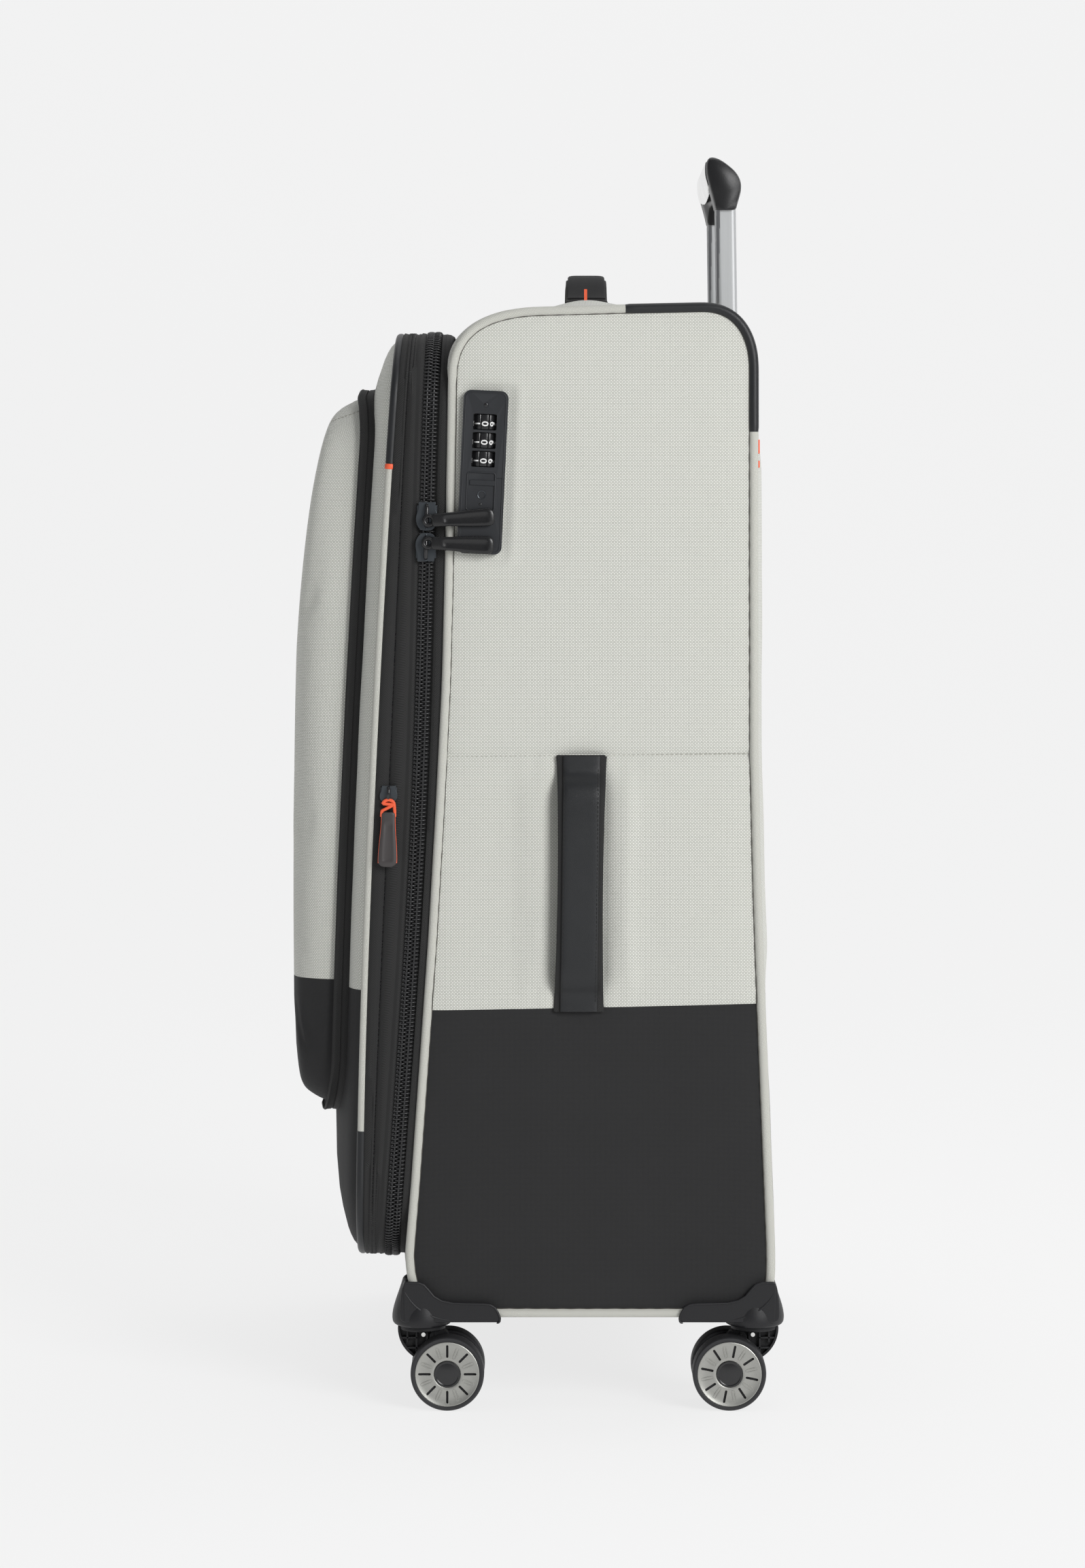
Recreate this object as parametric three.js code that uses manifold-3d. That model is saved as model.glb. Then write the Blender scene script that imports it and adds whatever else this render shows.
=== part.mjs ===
// Softside upright suitcase on four double-wheel casters, in millimetres.
// +X points to the back of the case, +Y to the hinge side, +Z up. The origin is on the floor, under the middle.
// The case is drawn symmetrically about the plane y = 0 and the whole of it is then moved by caseShiftY,
// because the side handle stands out on one side only.

import * as THREE from "three";
import { mergeVertices } from "three/addons/utils/BufferGeometryUtils.js";
import Module from "manifold-3d";

const wasm = await Module();
wasm.setup();

// ---- Driving dimensions ----

const halfWidth = 238; // from the middle plane to a side face
const panelThick = 4; // fabric, foam and board together
const pipingRadius = 3.2;
const gap = 0.3; // between solids that touch
const seam = 2 * pipingRadius + gap; // room that a piping takes at an edge
const sideHandleProud = 16;
const housingProud = 5; // how far a wheel housing stands past a side face
const caseShiftY = (sideHandleProud - housingProud) / 2;

const ring = { halfY: 235, low: 102, high: 763, radius: 55, wall: 2.5 }; // the zip bands round the opening
const panelLevels = { low: 112, high: 705 }; // where the back panel meets the bottom and the top

const wheel = { radius: 26, width: 19, bore: 3.3, axle: 3, sides: 28 };
const caster = { trail: 18.2, front: -83, rear: 152.6, y: 217.5, forkThick: 10.8 };
const bell = { radius: 21.4, halfY: 25.5, low: 58, top: 91, boss: 13, bossTop: 84 };
const stem = { radius: 5, top: 80, bore: 5.4 };

const trolley = { x: 139.4, z: 786, lean: -0.0137, tubeSpan: 150, grip: 73 };
const innerTube = { x: 15.3, y: 24, wall: 1.3, top: 73, low: -540 };
const outerTube = { x: 19, y: 27.7, wall: 1.2, top: -51.6, low: -690 };
const tray = { front: 116, back: 160, low: 735, floor: 742, halfY: 96, wall: 4.5 };

const lock = { x: -39.8, z: 662.5, tilt: 0.047, width: 31.6, height: 115.5, proud: 4.3, corner: 6 };
const lockBox = { width: 26, height: 108, depth: 22 };
const dial = { radius: 9.5, thick: 10.6, pitch: 13.1, top: 35.5, window: 16.5, slot: 11.2 };

// ---- Lines of the side view, as x at a height z ----

const smooth = (points) =>
  new THREE.SplineCurve(points.map(([x, z]) => new THREE.Vector2(x, z))).getPoints(8);
const zipLine = smooth([
  [-74.5, 770],
  [-76.2, 730],
  [-82.2, 517],
  [-89.8, 334],
  [-101.8, 158],
  [-105, 105],
]);
const coverLine = smooth([
  [-98.5, 770],
  [-104, 690],
  [-114, 517],
  [-121.7, 334],
  [-125.6, 198],
  [-126.4, 105],
]);
const backPadLine = smooth([
  [159, 704],
  [158, 640],
  [158.2, 540],
  [161, 464],
  [165, 324],
  [165, 217],
  [168.5, 125],
  [168.5, 112],
]);

function xAt(line, z) {
  const i = Math.max(1, line.findIndex((p) => p.y <= z));
  const [a, b] = [line[i - 1], line[i]];
  return a.x + ((b.x - a.x) * (z - a.y)) / (b.y - a.y);
}

const expanderShare = 0.65; // how far the expander zip lies from the main zip towards the cover's piping
const expanderLine = zipLine.map(
  (p) => new THREE.Vector2(p.x + expanderShare * (xAt(coverLine, Math.max(105.5, Math.min(769, p.y))) - p.x), p.y),
);
const moved = (line, dx) => line.map((p) => new THREE.Vector2(p.x + dx, p.y));

// The case's side outline, counterclockwise seen with x to the right and z up.
const backEdge = [
  [167, 113],
  [163.4, 205],
  [160, 290],
  [157.2, 375],
  [155.2, 464],
  [155, 600],
  [155, 737],
];
const frontEdge = [
  [-66.2, 620],
  [-68.7, 517],
  [-73.2, 425],
  [-78.4, 334],
  [-84.6, 245],
  [-90.7, 159],
  [-94.8, 110],
];
const sidePath = new THREE.Path();
sidePath.moveTo(-70, 65);
for (const x of [0, 70, 138]) sidePath.lineTo(x, 65);
sidePath.bezierCurveTo(156, 65, 166, 76, 167, 96);
for (const [x, z] of backEdge) sidePath.lineTo(x, z);
sidePath.bezierCurveTo(155, 761, 143, 782, 118, 782.5);
for (const [x, z] of [[56, 781.2], [-6, 779.5]]) sidePath.lineTo(x, z);
sidePath.bezierCurveTo(-38, 777, -61, 766, -64.3, 736);
for (const [x, z] of frontEdge) sidePath.lineTo(x, z);
sidePath.bezierCurveTo(-94, 82, -86, 66, -70, 65);
const sideOutline = sidePath.getPoints(6).slice(0, -1);

// A loop moved inwards by a distance, or outwards by a negative one.
function insetLoop(loop, distance) {
  return loop.map((p, i) => {
    const before = loop[(i + loop.length - 1) % loop.length];
    const after = loop[(i + 1) % loop.length];
    const along = after.clone().sub(before).normalize();
    return new THREE.Vector2(p.x - along.y * distance, p.y + along.x * distance);
  });
}

// ---- Solids ----

function solid(geometry) {
  const g = geometry.index ? geometry.toNonIndexed() : geometry.clone();
  for (const name of Object.keys(g.attributes)) if (name !== "position") g.deleteAttribute(name);
  const merged = mergeVertices(g, 1e-4);
  return new wasm.Manifold(
    new wasm.Mesh({
      numProp: 3,
      vertProperties: merged.attributes.position.array,
      triVerts: new Uint32Array(merged.index.array),
    }),
  );
}

function geometryOf(made) {
  const mesh = made.getMesh();
  const g = new THREE.BufferGeometry();
  g.setAttribute("position", new THREE.BufferAttribute(mesh.vertProperties, 3));
  g.setIndex(new THREE.BufferAttribute(mesh.triVerts, 1));
  return g;
}

const cut = (a, ...others) => others.reduce((s, b) => s.subtract(b), a);
const join = (a, ...others) => others.reduce((s, b) => s.add(b), a);

const extruded = (shape, depth) => new THREE.ExtrudeGeometry(shape, { depth, bevelEnabled: false, curveSegments: 4 });

// A shape of (x, z) points, standing between y = low and y = high.
function prismY(shape, low, high) {
  const made = extruded(shape instanceof THREE.Shape ? shape : new THREE.Shape(shape), high - low);
  return solid(made.rotateX(Math.PI / 2).translate(0, high, 0));
}

// A shape of (y, z) points, standing between x = low and x = high.
function prismX(shape, low, high) {
  const made = extruded(shape instanceof THREE.Shape ? shape : new THREE.Shape(shape), high - low);
  const turn = new THREE.Matrix4().makeBasis(
    new THREE.Vector3(0, 1, 0),
    new THREE.Vector3(0, 0, 1),
    new THREE.Vector3(1, 0, 0),
  );
  return solid(made.applyMatrix4(turn).translate(low, 0, 0));
}

// A shape of (x, y) points, standing between z = low and z = high.
function prismZ(shape, low, high) {
  return solid(extruded(shape, high - low).translate(0, 0, low));
}

function box(x0, x1, y0, y1, z0, z1) {
  const g = new THREE.BoxGeometry(x1 - x0, y1 - y0, z1 - z0);
  return solid(g.translate((x0 + x1) / 2, (y0 + y1) / 2, (z0 + z1) / 2));
}

function roundedShape(x0, x1, y0, y1, radius) {
  const s = new THREE.Shape();
  s.moveTo(x0 + radius, y0);
  s.lineTo(x1 - radius, y0);
  s.absarc(x1 - radius, y0 + radius, radius, -Math.PI / 2, 0);
  s.lineTo(x1, y1 - radius);
  s.absarc(x1 - radius, y1 - radius, radius, 0, Math.PI / 2);
  s.lineTo(x0 + radius, y1);
  s.absarc(x0 + radius, y1 - radius, radius, Math.PI / 2, Math.PI);
  s.lineTo(x0, y0 + radius);
  s.absarc(x0 + radius, y0 + radius, radius, Math.PI, 1.5 * Math.PI);
  return s;
}

function cylinder(radius, length, sides, axis = "y") {
  const g = new THREE.CylinderGeometry(radius, radius, length, sides);
  if (axis === "x") g.rotateZ(Math.PI / 2);
  if (axis === "z") g.rotateX(Math.PI / 2);
  return g;
}

// A closed surface of points and faces, turned over if its faces point inwards.
function closed(points, faces) {
  let volume = 0;
  for (let i = 0; i < faces.length; i += 3) {
    const [a, b, c] = [points[faces[i]], points[faces[i + 1]], points[faces[i + 2]]];
    volume += a.dot(b.clone().cross(c));
  }
  const g = new THREE.BufferGeometry().setFromPoints(points);
  g.setIndex(volume > 0 ? faces : [...faces].reverse());
  return g;
}

// A closed surface through rings of the same number of points, capped by a fan at each end.
function loft(rings) {
  const count = rings[0].length;
  const points = rings.flat();
  const faces = [];
  const centreOf = (r) => r.reduce((s, p) => s.add(p), new THREE.Vector3()).divideScalar(count);
  const first = points.push(centreOf(rings[0])) - 1;
  const last = points.push(centreOf(rings.at(-1))) - 1;
  const base = (rings.length - 1) * count;
  for (let i = 0; i < count; i++) {
    const j = (i + 1) % count;
    for (let r = 0; r < rings.length - 1; r++) {
      const [a, b, c, d] = [r * count + i, r * count + j, (r + 1) * count + i, (r + 1) * count + j];
      faces.push(a, b, d, a, d, c);
    }
    faces.push(first, j, i, last, base + i, base + j);
  }
  return closed(points, faces);
}

// A round cord along a closed loop of points: its section lies across the loop, towards the fixed direction.
function cordLoop(points, radius, sides, towards) {
  const rings = points.map((p, i) => {
    const before = points[(i + points.length - 1) % points.length];
    const after = points[(i + 1) % points.length];
    const along = after.clone().sub(before).normalize();
    const across = along.clone().cross(towards).normalize();
    return Array.from({ length: sides }, (_, k) => {
      const turn = (2 * Math.PI * k) / sides;
      return p
        .clone()
        .addScaledVector(across, radius * Math.cos(turn))
        .addScaledVector(towards, radius * Math.sin(turn));
    });
  });
  const faces = [];
  const at = (i, k) => (i % points.length) * sides + (k % sides);
  points.forEach((_, i) => {
    for (let k = 0; k < sides; k++) {
      faces.push(at(i, k), at(i, k + 1), at(i + 1, k + 1), at(i, k), at(i + 1, k + 1), at(i + 1, k));
    }
  });
  return closed(rings.flat(), faces);
}

// ---- Materials ----

const colours = {
  canvas: [0xc4c5bb, 0.9, 0],
  darkCanvas: [0x2c2c2e, 0.85, 0],
  tape: [0x1d1d1f, 0.8, 0],
  plastic: [0x232427, 0.55, 0],
  rubber: [0x27282a, 0.75, 0],
  aluminium: [0xb4b6b9, 0.35, 0.9],
  steel: [0x8a8b8f, 0.4, 0.9],
};
const materials = {};
for (const [name, [color, roughness, metalness]] of Object.entries(colours)) {
  materials[name] = new THREE.MeshStandardMaterial({ color, roughness, metalness });
}

function named(name, made, material) {
  const mesh = new THREE.Mesh(made instanceof THREE.BufferGeometry ? made : geometryOf(made), materials[material]);
  mesh.name = name;
  return mesh;
}

const suitcase = new THREE.Group();
const body = new THREE.Group();
body.position.y = caseShiftY;
suitcase.add(body);

// ---- Case: side panels, back, top and bottom ----

function inLockFrame(made) {
  const turned = geometryOf(made).rotateY(lock.tilt);
  return solid(turned.translate(lock.x, -halfWidth, lock.z));
}

const sideSkin = insetLoop(sideOutline, seam);
const lockCutOut = inLockFrame(
  box(
    -lockBox.width / 2 - gap,
    lockBox.width / 2 + gap,
    -20,
    20,
    -lockBox.height / 2 - gap,
    lockBox.height / 2 + gap,
  ),
);
// A side panel is crowned: full thickness over its middle, thinner towards its pipings.
const crownStart = 1.4; // how far the panel's edge lies below its middle
function sidePanel(side) {
  const middle = new THREE.Vector2(36, 423);
  const inner = sideSkin.map((p) => p.clone().sub(middle).multiplyScalar(0.87).add(middle));
  const at = (loop, y) => loop.map((p) => new THREE.Vector3(p.x, side * y, p.y));
  return loft([
    at(sideSkin, halfWidth - panelThick),
    at(sideSkin, halfWidth - crownStart),
    at(inner, halfWidth),
  ]);
}
body.add(named("side_panel_lock", cut(solid(sidePanel(-1)), lockCutOut), "canvas"));
body.add(named("side_panel_hinge", sidePanel(1), "canvas"));

const openingShape = (inset) => roundedShape(
  inset - ring.halfY,
  ring.halfY - inset,
  ring.low + inset,
  ring.high - inset,
  ring.radius - inset,
);
const wrapHalf = halfWidth - seam;
const wrap = cut(
  prismY(sideOutline, -wrapHalf, wrapHalf),
  prismY(insetLoop(sideOutline, panelThick), -wrapHalf - 1, wrapHalf + 1),
  prismX(openingShape(-gap), -130, -30),
);
const casterPlaces = [
  ["front_lock", caster.front, -caster.y, 1],
  ["front_hinge", caster.front, caster.y, 1],
  ["rear_lock", caster.rear, -caster.y, -1],
  ["rear_hinge", caster.rear, caster.y, -1],
];
const bossHoles = casterPlaces.map(([, x, y]) =>
  solid(cylinder(bell.boss + gap, 60, 16, "z").translate(x, y, 70)),
);
const wide = halfWidth + 20;
const inTray = (margin) => box(
  tray.front - margin,
  tray.back,
  -tray.halfY - margin,
  tray.halfY + margin,
  tray.low - margin,
  800,
);
const topPanel = cut(wrap.intersect(box(-100, 180, -wide, wide, panelLevels.high, 800)), inTray(gap));
body.add(named("top_panel", topPanel, "canvas"));
body.add(
  named(
    "bottom_panel",
    cut(wrap.intersect(box(-120, 180, -wide, wide, 0, panelLevels.low - gap)), ...bossHoles),
    "darkCanvas",
  ),
);

// The back panel carries a raised pad over the handle's tubes.
const backStrip = wrap.intersect(box(60, 180, -wide, wide, panelLevels.low, panelLevels.high - gap));
const padShape = (dx, front) => [
  ...moved(backPadLine, dx),
  new THREE.Vector2(front, panelLevels.low),
  new THREE.Vector2(front, 704),
];
const padHalf = 112;
const padOuter = prismY(padShape(0, 152.5), -padHalf, padHalf);
const padInner = prismY(padShape(-panelThick, 120), panelThick - padHalf, padHalf - panelThick);
const padEnds = box(120, 152.5, panelThick - padHalf, padHalf - panelThick, panelLevels.low - 1, 706);
body.add(named("back_panel", cut(join(backStrip, padOuter), padInner, padEnds), "canvas"));

// Pipings round both side faces.
const pipingLine = insetLoop(sideOutline, pipingRadius);
for (const [name, side] of [
  ["piping_lock", -1],
  ["piping_hinge", 1],
]) {
  const points = pipingLine.map((p) => new THREE.Vector3(p.x, side * (halfWidth - pipingRadius), p.y));
  body.add(named(name, cordLoop(points, pipingRadius, 6, new THREE.Vector3(0, 1, 0)), "canvas"));
}

// ---- Zip bands round the opening: the case's tape, the lid's tape and the front cover's gusset ----

const bandRing = cut(prismX(openingShape(0), -140, -30), prismX(openingShape(ring.wall), -141, -29));
const bandBetween = (rear, front) => bandRing.intersect(prismY([...rear, ...[...front].reverse()], -wide, wide));
const caseFront = insetLoop(sideOutline, -gap).filter((p) => p.x < -40 && p.y > 100 && p.y < 779);
body.add(named("zip_tape_case", bandBetween(caseFront, moved(zipLine, gap / 2)), "tape"));
body.add(named("zip_tape_lid", bandBetween(moved(zipLine, -gap / 2), moved(expanderLine, gap / 2)), "tape"));
const coverBack = pipingRadius + gap;
body.add(named("cover_gusset", bandBetween(moved(expanderLine, -gap / 2), moved(coverLine, coverBack)), "tape"));

// ---- Front cover: piping, crowned panel and front pocket ----

// A rounded rectangle of (y, z) points with extra points on its upright sides.
function roundedLoop(halfY, low, high, radius) {
  const [corner, upright, level] = [5, 6, 2];
  const loop = [];
  const addLine = (y0, z0, y1, z1, steps) => {
    for (let i = 1; i < steps; i++) loop.push([y0 + ((y1 - y0) * i) / steps, z0 + ((z1 - z0) * i) / steps]);
  };
  const addCorner = (y, z, from) => {
    for (let i = 0; i <= corner; i++) {
      const turn = from + ((Math.PI / 2) * i) / corner;
      loop.push([y + radius * Math.cos(turn), z + radius * Math.sin(turn)]);
    }
  };
  addCorner(halfY - radius, high - radius, 0);
  addLine(halfY - radius, high, radius - halfY, high, level);
  addCorner(radius - halfY, high - radius, Math.PI / 2);
  addLine(-halfY, high - radius, -halfY, low + radius, upright);
  addCorner(radius - halfY, low + radius, Math.PI);
  addLine(radius - halfY, low, halfY - radius, low, level);
  addCorner(halfY - radius, low + radius, 1.5 * Math.PI);
  addLine(halfY, low + radius, halfY, high - radius, upright);
  return loop;
}
const coverLoop = (inset) =>
  roundedLoop(ring.halfY - inset, ring.low + inset, ring.high - inset, Math.max(12, ring.radius - inset));
const onCover = (loop, forward) => loop.map(([y, z]) => new THREE.Vector3(xAt(coverLine, z) - forward, y, z));

body.add(
  named(
    "cover_piping",
    cordLoop(onCover(coverLoop(pipingRadius), 0), pipingRadius, 6, new THREE.Vector3(1, 0, 0)),
    "canvas",
  ),
);

// The crown of the cover's panel: how far forward it stands at a distance from its edge.
const crown = [
  [seam, 2],
  [20, 9],
  [45, 16],
  [100, 22],
  [200, 25],
];
function crownAt(inset) {
  const i = Math.max(1, crown.findIndex(([d]) => d >= inset));
  const [[d0, f0], [d1, f1]] = [crown[i - 1], crown[i]];
  return f0 + ((f1 - f0) * (inset - d0)) / (d1 - d0);
}
const crownRings = (back) => crown.map(([inset, forward]) => onCover(coverLoop(inset), forward - back));
body.add(named("front_panel", loft([...crownRings(0).reverse(), ...crownRings(panelThick)]), "canvas"));

const pocket = { halfY: 208, low: 207, high: 721, radius: 40, thick: 3, strip: 11, front: -174 };
const pocketFace = smooth([
  [-140, 735],
  [-152, 700],
  [-164, 645],
  [-172, 560],
  [-174, 500],
  [-174, 280],
  [-170, 200],
]);
const pocketSteps = [
  { inset: 0, share: 0 },
  { inset: 1, share: 0.26 },
  { inset: 10, share: 0.66 },
  { inset: 30, share: 0.9 },
  { inset: 75, share: 1 },
];
function pocketRings(thick) {
  return pocketSteps.map(({ inset, share }) => {
    const place = inset + thick;
    const loop = roundedLoop(
      pocket.halfY - place,
      pocket.low + place,
      pocket.high - place,
      Math.max(10, pocket.radius - place),
    );
    return loop.map(([y, z]) => {
      const edge = Math.min(ring.halfY - Math.abs(y), z - ring.low, ring.high - z) - inset;
      const base = xAt(coverLine, z) - crownAt(Math.max(seam, edge)) - 1;
      const face = Math.max(pocket.front, xAt(pocketFace, z)) + thick;
      return new THREE.Vector3(base + (face - base) * share, y, z);
    });
  });
}
const pocketShell = solid(loft([...pocketRings(0).reverse(), ...pocketRings(pocket.thick)]));
const behindPocket = solid(loft([...crownRings(-gap).reverse(), onCover(coverLoop(0), -40)]));
body.add(named("front_pocket", cut(pocketShell, behindPocket), "canvas"));

// ---- Wheel housings, casters and wheels ----

// The guard over a bottom corner, as (distance from the end of the case, z).
const guardOutline = [
  [-0.5, 88],
  [1, 90.5],
  [11, 90.5],
  [15, 88.5],
  [19, 83],
  [26, 78.2],
  [35, 76.2],
  [60, 75.6],
  [65, 73],
  [68, 66],
  [67, 62.3],
  [0, 62.3],
];
const guardThick = 2.5;
const guardDepth = 44; // how far the guard runs under the case

function bellGeometry() {
  const profile = [
    [0, bell.low],
    [18, bell.low],
    [20.8, 60],
    [bell.radius, 63],
    [bell.radius, 67],
    [19, 75],
    [15.5, 83],
    [13.5, bell.top],
    [0, bell.top],
  ].map(([r, z]) => new THREE.Vector2(r, z));
  const made = new THREE.LatheGeometry(profile, 20).rotateX(Math.PI / 2);
  return made.scale(1, bell.halfY / bell.radius, 1);
}

const caseBulk = prismY(insetLoop(sideOutline, -gap), -halfWidth - gap, halfWidth + gap);
for (const [place, x, y, way] of casterPlaces) {
  const side = Math.sign(y);
  const end = way > 0 ? -95.5 : 167;
  const face = side * (halfWidth + gap);
  const outer = side * (halfWidth + gap + guardThick);
  const inner = side * (halfWidth - guardDepth);
  const shape = guardOutline.map(([d, z]) => new THREE.Vector2(end + way * d, z));
  if (way < 0) shape.reverse();
  const guard = prismY(shape, Math.min(face, outer), Math.max(face, outer));
  const [u0, u1] = [end + way * 3, end + way * 67].sort((a, b) => a - b);
  const sole = box(u0, u1, Math.min(inner, outer), Math.max(inner, outer), 62.3, 64.7);
  const shell = cut(solid(bellGeometry().translate(x, y, 0)), caseBulk);
  const boss = solid(cylinder(bell.boss, bell.bossTop - 60, 16, "z").translate(x, y, (bell.bossTop + 60) / 2));
  const bore = solid(cylinder(stem.bore, stem.top + 1, 16, "z").translate(x, y, (stem.top + 1) / 2));
  body.add(named("wheel_housing_" + place, cut(join(shell, guard, sole, boss), bore), "plastic"));
}

function forkSolid() {
  const t = caster.forkThick / 2;
  const disc = solid(cylinder(24.7, 2 * t, 28).translate(7.4, 0, 55.5));
  const hub = solid(cylinder(9, 2 * t, 16).translate(caster.trail, 0, wheel.radius));
  const plate = solid(cylinder(16, 3.6, 16, "z").translate(0, 0, 55.3));
  const post = solid(cylinder(stem.radius, stem.top - 55, 16, "z").translate(0, 0, (stem.top + 55) / 2));
  const above = box(-60, 60, -40, 40, 56.6, 120);
  const axleHole = solid(cylinder(wheel.axle + gap, 40, 12).translate(caster.trail, 0, wheel.radius));
  return cut(join(cut(disc, above), hub, plate, post), axleHole);
}

// Tyre and rim in one, turned so that a flat facet meets the floor.
function wheelGeometry() {
  const half = wheel.width / 2;
  const tread = wheel.radius / Math.cos(Math.PI / wheel.sides);
  const profile = [
    [wheel.bore, -half],
    [23.6, -half],
    [tread, 2.6 - half],
    [tread, half - 2.6],
    [23.6, half],
    [wheel.bore, half],
    [wheel.bore, -half],
  ].map(([r, y]) => new THREE.Vector2(r, y));
  return new THREE.LatheGeometry(profile, wheel.sides, Math.PI / wheel.sides);
}

const wheelOffset = caster.forkThick / 2 + 0.6 + wheel.width / 2;
for (const [place, x, y, way] of casterPlaces) {
  const group = new THREE.Group();
  group.position.set(x, y, 0);
  if (way < 0) group.rotation.z = Math.PI;
  group.add(named("caster_fork_" + place, forkSolid(), "plastic"));
  const axle = cylinder(wheel.axle, 2 * wheelOffset + wheel.width - 8, 12);
  group.add(named("axle_" + place, axle.translate(caster.trail, 0, wheel.radius), "steel"));
  for (const [which, side] of [
    ["outer", Math.sign(y) * way],
    ["inner", -Math.sign(y) * way],
  ]) {
    const made = wheelGeometry().translate(caster.trail, side * wheelOffset, wheel.radius);
    group.add(named("wheel_" + place + "_" + which, made, "rubber"));
  }
  body.add(group);
}

// ---- Telescopic handle ----

const handle = new THREE.Group();
handle.position.set(trolley.x, 0, trolley.z);
handle.rotation.y = trolley.lean;
body.add(handle);

function tubeSolid({ x, y, wall, low, top }, at) {
  const outer = prismZ(roundedShape(-x / 2, x / 2, -y / 2, y / 2, 5), low, top);
  const inner = prismZ(roundedShape(wall - x / 2, x / 2 - wall, wall - y / 2, y / 2 - wall, 4), low - 1, top + 1);
  return cut(outer, inner).translate([0, at, 0]);
}
for (const [name, side] of [
  ["lock", -1],
  ["hinge", 1],
]) {
  const at = (side * trolley.tubeSpan) / 2;
  handle.add(named("handle_tube_outer_" + name, tubeSolid(outerTube, at), "aluminium"));
  handle.add(named("handle_tube_inner_" + name, tubeSolid(innerTube, at), "aluminium"));
}

// Grip: a bar of teardrop section with a collar over each tube.
const gripSection = new THREE.Shape();
gripSection.moveTo(-7.8, 0);
gripSection.splineThru([
  new THREE.Vector2(-10, 11),
  new THREE.Vector2(-13, 22.4),
  new THREE.Vector2(-14.1, 30),
  new THREE.Vector2(-13.6, 37),
  new THREE.Vector2(-11, 39.8),
  new THREE.Vector2(-5, 38.6),
  new THREE.Vector2(3, 33),
  new THREE.Vector2(9, 27),
  new THREE.Vector2(11.9, 19),
  new THREE.Vector2(9.4, 8.5),
  new THREE.Vector2(7.8, 0),
]);
const gripHalf = 90;
const gripBase = trolley.grip + gap;
const buttonSpot = { x: -4, halfX: 4.2, halfY: 16, depth: 7 };
const gripPoints = gripSection.getPoints(2).map((p) => new THREE.Vector2(p.x, p.y + gripBase)).reverse();
const fingerArch = prismX(
  roundedShape(-59, 59, gripBase - 30, gripBase + 12, 11),
  -30,
  30,
);
const buttonPocket = box(
  buttonSpot.x - buttonSpot.halfX - gap,
  buttonSpot.x + buttonSpot.halfX + gap,
  -buttonSpot.halfY - gap,
  buttonSpot.halfY + gap,
  gripBase + 39 - buttonSpot.depth - 4,
  gripBase + 60,
);
handle.add(named("handle_grip", cut(prismY(gripPoints, -gripHalf, gripHalf), fingerArch, buttonPocket), "plastic"));
const buttonTop = gripBase + 40.2;
const button = box(
  buttonSpot.x - buttonSpot.halfX,
  buttonSpot.x + buttonSpot.halfX,
  -buttonSpot.halfY,
  buttonSpot.halfY,
  buttonTop - buttonSpot.depth,
  buttonTop,
);
handle.add(named("handle_button", button, "rubber"));

// The tray in the top of the case takes the grip and guides the tubes.
const tubeHoles = [-1, 1].map((side) => {
  const [w, d] = [innerTube.x / 2 + 0.6, innerTube.y / 2 + 0.6];
  const at = (side * trolley.tubeSpan) / 2;
  const upright = prismZ(roundedShape(-w, w, at - d, at + d, 5), -90, 20);
  return solid(geometryOf(upright).rotateY(trolley.lean).translate(trolley.x, 0, trolley.z));
});
const recess = box(
  tray.front + tray.wall,
  200,
  tray.wall - tray.halfY,
  tray.halfY - tray.wall,
  tray.floor,
  820,
);
const trayBlock = prismY(sideOutline, -tray.halfY, tray.halfY).intersect(inTray(0));
body.add(named("handle_tray", cut(trayBlock, recess, ...tubeHoles), "plastic"));

// ---- Carry handles on the top and on the lock side ----

const topHandle = { x: 19.5, width: 31, base: 781.4, top: 813.7, half: 105, thick: 6 };
const archPoints = (half, base, top, run, foot) => [
  [-half, base],
  [-half + foot, base],
  [-half + foot + run, top],
  [half - foot - run, top],
  [half - foot, base],
  [half, base],
];
function strapShape(half, base, top, run, foot, thick) {
  const under = archPoints(half, base, top - thick, run, foot);
  const over = archPoints(half, base + thick, top, run, foot + thick / 2).reverse();
  return [...under, ...over].map(([u, v]) => new THREE.Vector2(u, v));
}
const topStrap = prismX(
  strapShape(topHandle.half, topHandle.base, topHandle.top, 18, 16, topHandle.thick),
  topHandle.x,
  topHandle.x + topHandle.width,
);
body.add(named("top_handle", topStrap, "rubber"));

const sideHandle = { x: 11.3, width: 35.3, middle: 372, half: 90, thick: 5 };
const sideBase = halfWidth + 0.4;
const sideStrap = strapShape(sideHandle.half, sideBase, halfWidth + sideHandleProud, 15, 10, sideHandle.thick);
const sideStrapShape = sideStrap.map((p) => new THREE.Vector2(-p.y, sideHandle.middle + p.x));
body.add(
  named("side_handle", prismX(sideStrapShape.reverse(), sideHandle.x, sideHandle.x + sideHandle.width), "rubber"),
);

// ---- Combination lock, in its own tilted frame: x across, z along, y = 0 on the case's face ----

const lockGroup = new THREE.Group();
lockGroup.position.set(lock.x, -halfWidth, lock.z);
lockGroup.rotation.y = lock.tilt;
body.add(lockGroup);

const halfLock = [lock.width / 2, lock.height / 2];
const plateShape = roundedShape(-halfLock[0], halfLock[0], -halfLock[1], halfLock[1], lock.corner);
const dialAxisY = dial.radius - lock.proud + 0.2;
const dialHeights = [0, 1, 2].map((i) => dial.top - i * dial.pitch);
const dialWindows = dialHeights.flatMap((z) => [
  box(-dial.window / 2, dial.window / 2, -10, 3, z - dial.slot / 2, z + dial.slot / 2),
  box(-10.1, 10.1, -2.6, dialAxisY + 10.5, z - dial.slot / 2, z + dial.slot / 2),
]);
const keyPlace = { z: -16, radius: 3, depth: 7 };
const slideButton = { z: -7.5, halfX: 9.2, half: 2, travel: 3, depth: 1.6 };
const keyHole = solid(cylinder(keyPlace.radius + gap, 12, 20).translate(0, keyPlace.depth - lock.proud - 6, keyPlace.z));
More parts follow.
